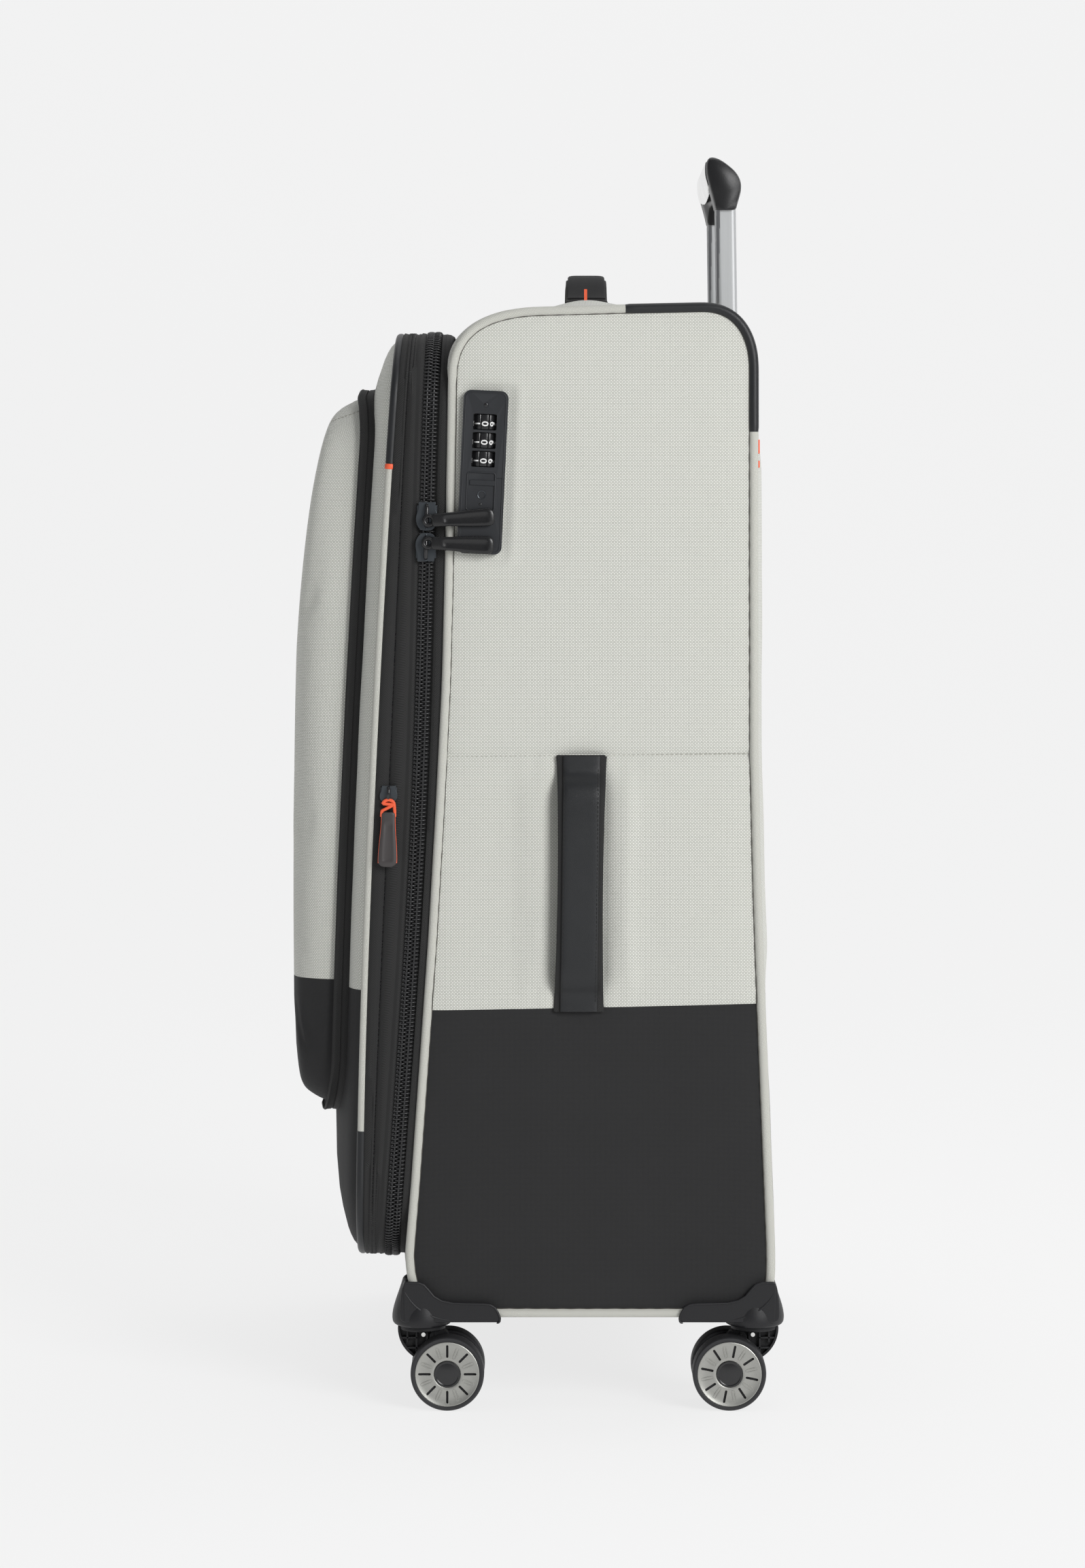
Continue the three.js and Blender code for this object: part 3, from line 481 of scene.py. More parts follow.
def sideHeight(x, z, edge, withHandle, withLock):
    edgeShape = 1 - np.exp(-edge / sideLook["edgeRoll"])
    h = -1.8 + sideLook["crown"] * edgeShape + 0.9 * smoothStep(edge, 10, 95)
    fold = lambda middle, width: np.exp(-((z - middle) / width) ** 2)
    h -= sideLook["seamDepth"] * fold(case["seamZ"], 2.0) + 0.7 * fold(case["seamZ"], 9.0)
    border = case["darkFront"] + (x + 82) * (case["darkBack"] - case["darkFront"]) / 240
    h += 0.7 * smoothStep(z, border - 0.8, border + 0.4) * (1 - smoothStep(z, border + 4, border + 40))
    h -= 0.8 * np.exp(-((z - border + 3) / 4.0) ** 2)
    h += 0.35 * wobble(x, z, 62, 3.0) + 0.16 * wobble(x, z, 19, 8.0)
    if withHandle:
        near = smoothStep(z, 286, 312) * (1 - smoothStep(z, 432, 458))
        ends = smoothStep(z, 278, 290) * (1 - smoothStep(z, 454, 466))
        across = np.abs(x - sideLook["handleX"])
        h -= sideLook["handlePull"] * ends * (1 - smoothStep(across, 12, 24)) * (0.35 + 0.65 * near)
        h += 2.0 * near * np.exp(-((across - 32) / 10) ** 2)
        streaks = np.sin((x - sideLook["handleX"]) * 0.42 + 1.7 * wobble(x * 0.2, z, 45, 5.0))
        h += 0.22 * ends * streaks * np.exp(-((across - 30) / 15) ** 2)
        for end in (case["seamZ"] + 3, 280):
            h -= 1.1 * np.exp(-(across / 20) ** 2 - ((z - end) / 8) ** 2)
    if withLock:
        lx, lz = x - lock["x"], z - lock["z"]
        c, s = math.cos(lock["tilt"]), math.sin(lock["tilt"])
        u, v = lx * c - lz * s, lx * s + lz * c
        away = np.hypot(np.maximum(np.abs(u) - 15.5, 0), np.maximum(np.abs(v) - 57.5, 0))
        flat = smoothStep(away, 1.5, 9)
        h = h * flat + (1 - flat) * -0.4 + 0.7 * np.exp(-((away - 7) / 4) ** 2)
    return h


def sidePanel(name, side, withHandle, withLock, node, body="case"):
    rim = outline - outlineOut * sideLook["inset"]
    rows, columns = sideLook["rows"], sideLook["columns"]
    top, low = int(np.argmax(rim[:, 1])), int(np.argmin(rim[:, 1]))
    order = np.roll(np.arange(len(rim)), -low)
    split = int(np.where(order == top)[0][0])
    right, left = rim[order[:split + 1]], rim[order[split:]][::-1]
    t = np.linspace(0, 1, rows)
    level = rim[low, 1] + 0.01 + (rim[top, 1] - rim[low, 1] - 0.02) * (0.55 * t
            + 0.225 * (1 - np.cos(math.pi * t)))
    climb = np.arange(len(rim)) * 1e-7
    x0 = np.interp(level, np.maximum.accumulate(left[:, 1]) + climb[:len(left)], left[:, 0])
    x1 = np.interp(level, np.maximum.accumulate(right[:, 1]) + climb[:len(right)], right[:, 0])
    t = (0.6 * np.linspace(0, 1, columns) + 0.2 * (1 - np.cos(math.pi * np.linspace(0, 1, columns))))[None]
    x, z = x0[:, None] * (1 - t) + x1[:, None] * t, np.repeat(level[:, None], columns, 1)
    edge = np.min(np.hypot(x[..., None] - rim[::2, 0], z[..., None] - rim[::2, 1]), -1)
    h = sideHeight(x, z, edge, withHandle, withLock)
    y = side * (case["half"] - 1.0 + h)
    points = np.stack([x, y, z], -1).reshape(-1, 3)
    made = piece(name, points, gridFaces(rows, columns), [canvas, charcoal, liningCloth], None,
                 cloth=np.c_[points[:, 0], points[:, 2]], turnOut=False)
    work = bmesh.new()
    work.from_mesh(made.data)
    slope = (case["darkBack"] - case["darkFront"]) / 240
    at = Vector((-0.082, 0, case["darkFront"] * 0.001))
    bmesh.ops.bisect_plane(work, geom=work.verts[:] + work.edges[:] + work.faces[:], plane_co=at,
                           plane_no=Vector((-slope, 0, 1)))
    for face in work.faces:
        centre = face.calc_center_median()
        face.material_index = 1 if (centre - at).dot(Vector((-slope, 0, 1))) < 0 else 0
        face.smooth = True
        if face.normal.y * side < 0:
            face.normal_flip()
    work.to_mesh(made.data)
    work.free()
    modifier(made, "SOLIDIFY", thickness=0.004, offset=-1, material_offset=2, material_offset_rim=0)
    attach(made, body)
    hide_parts(node)
    return made


sidePanel("sidePanelLock", -1, True, True, "side_panel_lock")
sidePanel("sidePanelHinge", 1, False, False, "side_panel_hinge")


def dashes(path, length, gap, radius, up, name, paint, body, lift=0.0):  # a row of stitches along a path
    path = np.asarray(path, float)
    run = np.r_[0, np.cumsum(np.linalg.norm(np.diff(path, axis=0), axis=1))]
    parts = []
    for start in np.arange(0.5, run[-1] - length, length + gap):
        at = start + np.linspace(0, length, 5)
        line = np.stack([np.interp(at, run, path[:, k]) for k in range(3)], -1)
        line += np.asarray(up, float) * (lift + radius * 0.9 * np.sin(np.linspace(0, math.pi, 5)))[:, None]
        parts.append(tube(line, radius * np.array([0.5, 1, 1, 1, 0.5]), 5, up=up))
    return piece(name, *joined(*parts), paint, body, cloth=None)


def sideSurface(x, z, withHandle=True, withLock=True):  # y of the lock side's fabric
    x, z = np.asarray(x, float), np.asarray(z, float)
    rim = outline - outlineOut * sideLook["inset"]
    edge = np.min(np.hypot(x[..., None] - rim[::6, 0], z[..., None] - rim[::6, 1]), -1)
    return -(case["half"] - 1.0 + sideHeight(x, z, edge, withHandle, withLock))


seamPath = np.linspace(-66, 149, 216)
besideHandle = np.abs(seamPath - sideLook["handleX"]) > 18
for side, name in ((-1, "seamStitchLock"), (1, "seamStitchHinge")):
    rise = 461.4 + (seamPath + 70) * 0.0105
    keep = besideHandle | (side > 0)
    y = sideSurface(seamPath, rise, side < 0, side < 0)
    path = np.stack([seamPath, y if side < 0 else -y, rise], -1)
    for part, chosen in (("A", keep & (seamPath < sideLook["handleX"])),
                         ("B", keep & (seamPath >= sideLook["handleX"]))):
        dashes(path[chosen], 2.6, 0.8, 0.32, (0, side, 0), name + part, thread, "case", 0.1)
print("side panels made")


# pipings round the side faces

def pipeRun(name, start, end, radius, paint, side, sides=14, stands=(), finish="piping", ends=False):
    run = np.linspace(start, end, max(12, int((end - start) / 3)))
    x, z = onOutline(run, -case["piping"])
    path = np.stack([x, np.full_like(x, side * (case["half"] - case["piping"])), z], -1)
    r = np.full(len(run), radius)
    if ends:
        r[[0, -1]] = radius * 0.9
    points, faces = tube(path, r, sides, up=(0, 1, 0))
    return piece(name, points, faces, paint, "case", stands, finish, cloth=tubeCloth(path, radius, sides))


for side, word in ((-1, "Lock"), (1, "Hinge")):
    pipeRun("pipingLight" + word, runTrimStart - 4, runTrimEnd + total + 4, case["piping"], cordCloth, side,
            stands="piping_" + word.lower())
    pipeRun("pipingTrim" + word, runTrimEnd, runTrimStart, case["pipingTrim"], hide, side, 18, finish="piping",
            ends=True)
    run = np.linspace(0, total, 640, endpoint=False)  # a dark tube painted as the shadow in the seam between the cord and the panel
    x, z = onOutline(run, -6.3)
    line = np.stack([x, side * (0.1 + np.abs(sideSurface(x, z, side < 0, side < 0))), z], -1)
    piece("pipingSeam" + word, *tube(line, 0.34, 6, True, up=(0, 1, 0)), seamShade, "case", finish="piping")
print("pipings made")


# the wrap: bottom, back, top and the rim round the opening

wrapLook = {"crown": 3.2, "roll": 16.0, "padHalf": 112.0, "trayHalf": 96.2, "channel": 1.3, "hump": 9.6,
            "sideBulge": 2.8, "columns": 81, "thick": 4.0}


def wrapPanels():
    half = case["half"] - 5.4
    trayHalf, padHalf = wrapLook["trayHalf"], wrapLook["padHalf"]
    even = np.linspace(-1, 1, wrapLook["columns"])
    base = np.sign(even) * np.abs(even) ** 0.8 * half
    ys = np.unique(np.r_[base, -trayHalf, trayHalf])
    radius = opening["radius"]
    cut = np.sqrt(np.maximum(radius ** 2 - np.maximum(np.abs(ys) - (opening["half"] - radius), 0) ** 2, 0))
    topZ, lowZ = opening["high"] - radius + cut + 1, opening["low"] + radius - cut - 1
    nearTop = (outline[:, 0] < -20) & (outline[:, 1] > 640)
    low = np.where((outline[:, 0] < -60) & (outline[:, 1] < 250))[0]
    low = low[np.argsort(outline[low, 1], kind="stable")]
    rimLow = np.where(outlineRun[low] > total / 2, outlineRun[low] - total, outlineRun[low])
    endTop = np.interp(-topZ, -outline[nearTop, 1], outlineRun[nearTop])
    startLow = np.interp(lowZ, outline[low, 1], rimLow)
    fixedA, fixedB = 60.0, runTrayTop + 40
    stops = [(fixedA, runBackLow, 26), (runBackLow, runBackDark, 34), (runBackDark, runTrayLow, 80),
             (runTrayLow, runTrayTop, 26), (runTrayTop, fixedB, 12)]
    middle = np.unique(np.concatenate([np.linspace(*stop) for stop in stops]))
    first = np.linspace(0, 1, 40)[:-1, None] * (fixedA - startLow)[None] + startLow[None]
    last = fixedB + np.linspace(0, 1, 46)[1:, None] * (endTop - fixedB)[None]
    runs = np.vstack([first, np.repeat(middle[:, None], len(ys), 1), last])
    y = np.repeat(ys[None], len(runs), 0)
    x0, z0 = onOutline(runs)
    edge = half - np.abs(y)
    rolled = 1 - np.exp(-edge / wrapLook["roll"])
    proud = -1.2 + wrapLook["crown"] * rolled
    bottom = (z0 < 72) & (x0 < 150)
    proud = np.where(bottom, -1.2 + 1.2 * rolled, proud)
    back = (x0 > 100) & (z0 > 112) & (z0 < 740)
    inPad = smoothStep(padHalf - np.abs(y), -5, 12) * smoothStep(z0, 108, 140) * (1 - smoothStep(z0, 690, 712))
    lift = np.clip(padX(np.clip(z0, 120, 700)) - x0, 0, 9)
    proud = np.where(back, proud * (1 - 0.35 * inPad) + inPad * lift, proud)
    for rib in (-padHalf, -38.0, 38.0, padHalf):  # sewn channels that run up the back
        channel = wrapLook["channel"] * np.exp(-((y - rib) / 3.0) ** 2)
        proud = np.where(back, proud - channel * smoothStep(z0, 120, 150) * (1 - smoothStep(z0, 680, 704)),
                         proud)
    # the top rises to the handle's feet
    hump = np.exp(-((x0 - 34) / 31) ** 2) * (z0 > 770) * (1 - smoothStep(np.abs(y), 92, 190))
    proud = proud + wrapLook["hump"] * hump
    beside = wrapLook["sideBulge"] * smoothStep(edge, 6, 40) * (1 - smoothStep(edge, 70, 118))
    proud = proud + np.where(back, beside * smoothStep(z0, 290, 330) * (1 - smoothStep(z0, 660, 700)), 0)
    rimFront = ((x0 < -20) & (z0 > 680)).astype(float)
    proud = proud + 1.6 * rimFront * smoothStep(np.abs(y), 120, 190) * np.exp(-((z0 - 745) / 26) ** 2)
    proud = proud + 0.4 * wobble(runs, y, 55, 1.0) * smoothStep(edge, 4, 30)
    x, z = onOutline(runs, 0.0)
    nx, nz = onOutline(runs, 1.0)
    x, z = x + (nx - x) * proud, z + (nz - z) * proud
    points = np.stack([x, y, z], -1).reshape(-1, 3)
    hole = ((runs > runTrayLow - 0.01) & (runs < runTrayTop + 0.01) & (np.abs(y) < trayHalf + 0.01)).ravel()
    faces = [f for f in gridFaces(len(runs), len(ys)) if not all(hole[list(f)])]
    dark = runs.ravel() < runBackDark + 0.01
    slots = [1 if all(dark[list(f)]) else 0 for f in faces]
    made = piece("wrapPanels", points, faces, [canvas, charcoal, liningCloth], "case",
                 ("top_panel", "back_panel", "bottom_panel"), "canvas", slots,
                 cloth=np.c_[y.ravel(), runs.ravel()], turnOut=False)
    work = bmesh.new()
    work.from_mesh(made.data)
    bmesh.ops.delete(work, geom=[v for v in work.verts if not v.link_faces], context="VERTS")
    work.faces.ensure_lookup_table()
    probe = max(work.faces, key=lambda f: f.calc_center_median().x)
    if probe.normal.x < 0:
        bmesh.ops.reverse_faces(work, faces=work.faces[:])
    work.to_mesh(made.data)
    work.free()
    modifier(made, "SOLIDIFY", thickness=wrapLook["thick"] * 0.001, offset=-1, material_offset=2,
             material_offset_rim=0)
    return made


wrapPanels()
for z, height in ((681.0, 10.0), (668.5, 5.0)):  # small orange marks at the top of the back pad
    corner = np.array([(155.4, y, z + k * height / 2) for y,
                       k in ((-222, -1), (-216, -1), (-216, 1), (-222, 1))])
    block = joined(loft([corner, corner + (1.3, 0, 0)]))
    rounded(piece("backMark" + str(int(z)), *block, orange, "case", finish="canvas"), 0.4, 2)
print("wrap made")


# zip bands round the opening

def inOpening(z):  # heights kept between the opening's ends
    return np.clip(z, opening["low"], opening["high"])


def band(name, stations, body, stands, count=420, thick=0.0012):
    # stations: (x as a function of z, how far out of the opening's own line)
    loop = ringLoop(opening["half"], opening["low"], opening["high"], opening["radius"], count)
    out = outwards(loop)
    rings = []
    for xOf, proud in stations:
        yz = loop + out * proud
        rings.append(np.stack([xOf(inOpening(loop[:, 1])), yz[:, 0], yz[:, 1]], -1))
    rings = np.array(rings)
    points, faces = loft(rings, True, False)
    run = np.r_[0, np.cumsum(np.linalg.norm(np.diff(loop, axis=0), axis=1))]
    across = np.r_[0, np.cumsum([np.linalg.norm(rings[k + 1, 0] - rings[k, 0]) for k in range(len(rings) - 1)])]
    cloth = np.stack(np.broadcast_arrays(across[:, None], run[None, :]), -1).reshape(-1, 2)
    made = piece(name, points, faces, tapeCloth, body, stands, "tape", cloth=cloth, sharp=60)
    if thick:
        modifier(made, "SOLIDIFY", thickness=thick, offset=-1)
    return made


def between(a, b, share):
    return lambda z: a(z) + share * (b(z) - a(z))


def shifted(a, dx):
    return lambda z: a(z) + dx


tapeShape = [(shifted(frontX, 3.5), -2.2), (shifted(frontX, 1.0), -0.7), (shifted(frontX, -1.5), -0.25),
             (between(frontX, zipX, 0.45), -0.4),
             (shifted(zipX, 6.4), -0.9), (shifted(zipX, 5.8), -2.0), (shifted(zipX, 0.4), -2.2)]
band("caseTape", tapeShape, "case", "zip_tape_case")
lidTape = [(shifted(zipX, -0.4), -2.2), (shifted(zipX, -5.8), -2.0), (shifted(zipX, -6.3), -0.9),
           (shifted(zipX, -8.2), -0.5), (shifted(zipX, -9.6), -1.3),
           (shifted(zipX, -10.8), -1.0), (shifted(zipX, -13.0), -0.1), (shifted(expanderX, 3.4), -0.2),
           (shifted(expanderX, 2.6), -0.7), (shifted(expanderX, 0.3), -0.8)]
band("lidGusset", lidTape, "lid", "zip_tape_lid")
coverShape = [(shifted(expanderX, -0.3), -0.8), (shifted(expanderX, -2.6), -0.7),
              (shifted(expanderX, -3.4), -0.1), (shifted(coverX, 6.4), 0.1),
              (shifted(coverX, 3.4), -0.5), (shifted(coverX, 1.0), -3.0)]
band("coverGusset", coverShape, "front_cover", "cover_gusset")

foldShape = [(shifted(expanderX, 7.0), -3.6), (shifted(expanderX, 5.0), -5.2), (shifted(expanderX, 2.0), -3.4),
             (shifted(expanderX, -1.0), -5.4), (shifted(expanderX, -4.0), -3.4),
        (shifted(expanderX, -6.0), -4.6)]
bellows = band("expanderFold", foldShape, None, (), thick=0)  # hidden until the expander is opened
middleX = float(expanderX(436.0)) * 0.001
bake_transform(bellows)


# along the opening's line from one hinge side corner round to the other
def zipPath(count, from_, to, xOf, proud):
    loop = ringLoop(opening["half"], opening["low"], opening["high"], opening["radius"], 2400)
    out = outwards(loop)
    run = np.r_[0, np.cumsum(np.linalg.norm(np.diff(loop, axis=0), axis=1))]
    length = run[-1] + np.linalg.norm(loop[0] - loop[-1])
    shares = np.linspace(0, 1, count) if np.isscalar(count) else count
    at = np.mod((from_ + (to - from_) * shares) * length, length)
    pick = lambda v: np.interp(at, np.r_[run, length], np.r_[v, v[:1]])
    y, z, ny, nz = pick(loop[:, 0]), pick(loop[:, 1]), pick(out[:, 0]), pick(out[:, 1])
    n = np.hypot(ny, nz)
    ny, nz = ny / n, nz / n
    x = xOf(inOpening(z))
    return np.stack([x, y + ny * proud, z + nz * proud], -1), np.stack([np.zeros_like(ny), ny, nz],
            -1), (to - from_) * length


def coil(name, body, xOf, side, from_, to, look, phase=0.0):
    width, perTurn, proud = look["width"], look["perTurn"], look["proud"]
    _, _, length = zipPath(8, from_, to, xOf, proud)
    turns = int(length / look["pitch"])
    count = turns * perTurn + 1
    turn = np.arange(count) * 2 * math.pi / perTurn
    whole, rest = np.divmod(turn / (2 * math.pi) + 1e-9, 1.0)
    along = whole + np.clip(rest * 2 - 1, 0, 1) + phase  # the outer half of each turn is a straight rung
    path, out, _ = zipPath(along / (turns + 1), from_, to, xOf, proud)
    across = side * (width / 2 - look["overlap"] - (width / 2) * np.cos(turn))
    path = path + out * (look["height"] / 2 * np.sin(turn))[:, None]
    path[:, 0] += across
    turned = tube(path, look["wire"], look["sides"], up=out)
    centre, out, _ = zipPath(turns * 2, from_, to, xOf, proud)
    centre[:, 0] += side * (width / 2 - look["overlap"])
    core = tube(centre, look["height"] * 0.34, 6, up=out)  # the filler cord that the turns wrap
    return piece(name, *joined(turned, core), coilNylon, body, finish="tape", sharp=80)


def hingeEnds():  # where, as a share of the loop, the hinge side's straight part begins and ends
    loop = ringLoop(opening["half"], opening["low"], opening["high"], opening["radius"], 2400)
    straight = np.where((loop[:, 0] > opening["half"] - 0.5) & (loop[:, 1] > 190) & (loop[:, 1] < 690))[0]
    return straight[0] / 2400, straight[-1] / 2400


hingeStart, hingeEnd = hingeEnds()
mainZip = {"pitch": 2.8, "width": 5.8, "height": 2.6, "wire": 0.6, "overlap": 0.55, "proud": -0.2,
           "perTurn": 10, "sides": 5}
expanderZip = {"pitch": 1.9, "width": 3.0, "height": 0.9, "wire": 0.36, "overlap": 0.55, "proud": -0.3,
               "perTurn": 8, "sides": 4}
coil("mainCoilCase", "case", zipX, 1, hingeEnd, hingeStart + 1, mainZip)
coil("mainCoilLid", "lid", zipX, -1, hingeEnd, hingeStart + 1, mainZip, phase=0.5)
coil("expanderCoilLid", "lid", expanderX, 1, 0.0, 0.9999, expanderZip)
coil("expanderCoilCover", "front_cover", expanderX, -1, 0.0, 0.9999, expanderZip, phase=0.5)


def seamRow(name, body, xOf, proud, length=2.3, gap=1.2, radius=0.26):  # stitches all round a zip tape
    path, out, _ = zipPath(700, 0.0, 0.9995, xOf, proud)
    run = np.r_[0, np.cumsum(np.linalg.norm(np.diff(path, axis=0), axis=1))]
    parts = []
    for start in np.arange(0, run[-1] - length, length + gap):
        at = start + np.linspace(0, length, 4)
        line = np.stack([np.interp(at, run, path[:, k]) for k in range(3)], -1)
        up = np.array([np.interp(start, run, out[:, k]) for k in range(3)])
        parts.append(tube(line, radius * np.array([0.5, 1, 1, 0.5]), 4, up=up))
    return piece(name, *joined(*parts), darkThread, body, finish="tape")


seamRow("tapeStitchCase", "case", shifted(zipX, 8.6), -0.3)
seamRow("tapeStitchLid", "lid", shifted(zipX, -7.2), -0.4)
hinge = {"low": 175.0, "high": 698.0, "half": 9.5, "rows": 60, "columns": 15}
rows, columns = hinge["rows"], hinge["columns"]
zs, cols = np.linspace(hinge["low"], hinge["high"], rows), np.linspace(-1, 1, columns)[None]
strip = np.stack([zipX(zs)[:, None] - hinge["half"] * cols,
                  np.full((rows, columns), opening["half"] - 0.1) + 0.9 * (1 - cols ** 4),
                  np.repeat(zs[:, None], columns, 1)], -1).reshape(-1, 3)
hingeStrip = piece("hingeStrip", strip, gridFaces(rows, columns), tapeCloth, None, finish="tape",
                   cloth=strip[:, [0, 2]])
modifier(hingeStrip, "SOLIDIFY", thickness=0.0012, offset=0)
midX = float(zipX(436.0)) * 0.001
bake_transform(hingeStrip)
print("zips made")


# front cover: piping, crowned panel, pocket zip strip and stuffed pocket

cover = {"piping": 3.0, "trim": 3.35, "trimTop": 668.5, "lightTop": 664.8, "trimLow": 197.0, "dark": 296.0}


# a loop on the cover, inset from its edge and standing forward of its line
def coverRing(inset, forward, count=480):
    loop = ringLoop(opening["half"] - inset, opening["low"] + inset, opening["high"] - inset,
                    max(14, opening["radius"] - 0.8 * inset), count)
    x = coverX(inOpening(loop[:, 1])) - forward
    return np.stack([x, loop[:, 0], loop[:, 1]], -1)


pipe = coverRing(cover["piping"], 0.0, 900)
for side, word in ((-1, "Lock"), (1, "Hinge")):
    light = pipe[(np.sign(pipe[:, 1]) == side) & (pipe[:, 2] > cover["trimLow"] - 3)
                 & (pipe[:, 2] < cover["lightTop"] + 2)]
    piece("coverPipingLight" + word, *tube(light, cover["piping"], 14, up=(1, 0, 0)), cordCloth, "front_cover",
          "cover_piping" if side < 0 else (), "piping",
          cloth=tubeCloth(light, cover["piping"], 14))
    ringZ = np.linspace(cover["lightTop"], cover["trimTop"], 5)
    ringY = side * (opening["half"] - cover["piping"])
    collar = np.stack([coverX(ringZ), np.full(5, ringY), ringZ], -1)
    piece("orangeCollar" + word, *tube(collar, cover["trim"] + np.array([0.1, 0.35, 0.4, 0.35, 0.1]), 18,
                                       up=(1, 0, 0)), orange, "front_cover", finish="piping")
topRun = pipe[pipe[:, 2] > cover["trimTop"]]
start = int(np.argmax(np.linalg.norm(np.diff(topRun, axis=0), axis=1) > 10)) + 1
topRun = np.roll(topRun, -start, 0)
piece("coverTrimTop", *tube(topRun, cover["trim"], 18, up=(1, 0, 0)), hide, "front_cover", finish="piping")
lowRun = pipe[pipe[:, 2] < cover["trimLow"]]
piece("coverTrimLow", *tube(lowRun, cover["trim"], 18, up=(1, 0, 0)), hide, "front_cover", finish="piping")

# the crowned panel behind the pocket
crownSteps = [(2.6, 0.5), (4.5, 2.4), (6.5, 4.2), (9, 6.4), (13, 8.6), (18, 10.6), (24, 12.3), (32, 14.6),
              (45, 17.4), (65, 20.2), (95, 22.6), (130, 24.0), (170, 24.8), (200, 25.0)]


def crownAt(inset):
    return np.interp(inset, [s[0] for s in crownSteps], [s[1] for s in crownSteps])


def coverPanel():
    rings = []
    for inset, forward in crownSteps:
        ring = coverRing(inset, forward)
        ring[:, 0] -= 0.7 * wobble(ring[:, 1], ring[:, 2], 60, 11.0) * smoothStep(inset, 8, 40)
        rings.append(ring)
    rings = np.array(rings)
    points, faces = loft(rings, True, False)
    count = rings.shape[1]
    last = (len(rings) - 1) * count
    faces.append(tuple(last + k for k in range(count)))
    return piece("coverPanel", points, faces, [canvas, charcoal, liningCloth], None, cloth=points[:, 1:])


def darkBelow(made, height):  # charcoal under a clean line, light above it
    work = bmesh.new()
    work.from_mesh(made.data)
    point, normal = Vector((-0.13, 0, height * 0.001)), Vector((0, 0, 1))
    bmesh.ops.bisect_plane(work, geom=work.verts[:] + work.edges[:] + work.faces[:], plane_co=point,
                           plane_no=normal)
    for face in work.faces:
        face.smooth = True
        if face.material_index in (0, 1):
            face.material_index = 1 if (face.calc_center_median() - point).dot(normal) < 0 else 0
    work.to_mesh(made.data)
    work.free()


def facing(made, direction):  # turns the whole surface so that it faces a direction on average
    work = bmesh.new()
    work.from_mesh(made.data)
    bmesh.ops.recalc_face_normals(work, faces=work.faces)
    if sum((f.normal.dot(Vector(direction)) * f.calc_area() for f in work.faces)) < 0:
        bmesh.ops.reverse_faces(work, faces=work.faces[:])
    work.to_mesh(made.data)
    work.free()


panel = coverPanel()
facing(panel, (-1, 0, 0))
darkBelow(panel, cover["dark"])
modifier(panel, "SOLIDIFY", thickness=0.003, offset=-1, material_offset=2, material_offset_rim=0)
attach(panel, "front_cover")
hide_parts("front_panel")

pocket = {"half": 208.0, "low": 205.0, "high": 722.0, "radius": 42.0, "dark": 301.0, "pressure": 1.2,
          "swell": 3.0, "frames": 18, "flatFrom": 96.0}
pocketFace = lineOf([(-140, 735), (-152, 702), (-163, 650), (-171, 575), (-173.5, 500), (-174.5, 400),
                     (-174.2, 290), (-173.5, 240)], 5)


def pocketRing(inset, share, out=0.0, count=480):
    loop = ringLoop(pocket["half"] - inset + out, pocket["low"] + inset - out, pocket["high"] - inset + out,
                    max(12, pocket["radius"] - 0.8 * inset), count)
    edge = np.minimum(np.minimum(opening["half"] - np.abs(loop[:, 0]), loop[:, 1] - opening["low"]),
                      opening["high"] - loop[:, 1])
    base = coverX(inOpening(loop[:, 1])) - crownAt(np.maximum(edge, 3)) + 0.8
    face = np.minimum(pocketFace(np.clip(loop[:, 1], 215, 728)), base - 14)
    return np.stack([base + (face - base) * share, loop[:, 0], loop[:, 1]], -1)


def stripRing(depth, out):  # the upright zip strip, a fixed depth forward of the cover's panel
    ring = pocketRing(0, 0.0, out)
    ring[:, 0] -= depth
    return ring


strips = [stripRing(depth, out) for depth, out in ((-1.0, 1.2), (0.6, 1.9), (2.0, 1.4), (4.6, 1.1), (4.9, 0.4),
                                                   (5.5, 0.4), (5.8, 1.1), (8.6, 1.3), (10.2, 1.8),
                                                   (11.4, 1.0))]
stripPoints, stripFaces = loft(np.array(strips), True, False)
lengthRound = np.linspace(0, 1800, 480)
depths = np.array([0, 1.5, 3, 5.5, 6, 6.6, 7.2, 10, 11.6, 13])
made = piece("pocketZipStrip", stripPoints, stripFaces, tapeCloth, "front_cover", (), "tape",
             cloth=np.stack(np.broadcast_arrays(depths[:, None], lengthRound[None]), -1).reshape(-1, 2),
             sharp=60)
modifier(made, "SOLIDIFY", thickness=0.001, offset=-1)

pocketKnee = 12.0  # how far in from the edge the pocket's side turns into its face
pocketSteps = [(i, (i / pocketKnee) / (1 + (i / pocketKnee) ** 4) ** 0.25) for i in
               (0, 0.15, 0.6, 1.5, 3, 4.5, 6, 7.5, 9, 10.5, 12, 13.5, 15, 17, 19.5, 23, 28, 34, 42, 52, 66, 82,
                100, 120, 142, 166, 190, 206)]


def pocketStart(count=300):  # one grid from the zip strip to the middle of the face, with its cloth laid flat
    rings = np.array([pocketRing(i + 1.0, s, count=count) for i, s in pocketSteps])
    loops = [ringLoop(pocket["half"] - i - 1.0, pocket["low"] + i + 1.0, pocket["high"] - i - 1.0,
                      max(12, pocket["radius"] - 0.8 * (i + 1.0)), count) for i, _ in pocketSteps]
    mid = count // 4
    run = np.r_[0, np.cumsum(np.linalg.norm(np.diff(rings[:, mid], axis=0), axis=1))]
    spare = run[-1] - run - np.array([pocketSteps[-1][0] - i for i, _ in pocketSteps])
    flat = np.array([loop + outwards(loop) * more for loop, more in zip(loops, spare)])
    points, faces = loft(rings, True, False)
    faces.append(tuple((len(rings) - 1) * count + k for k in range(count)))
    return points, faces, flat.reshape(-1, 2)


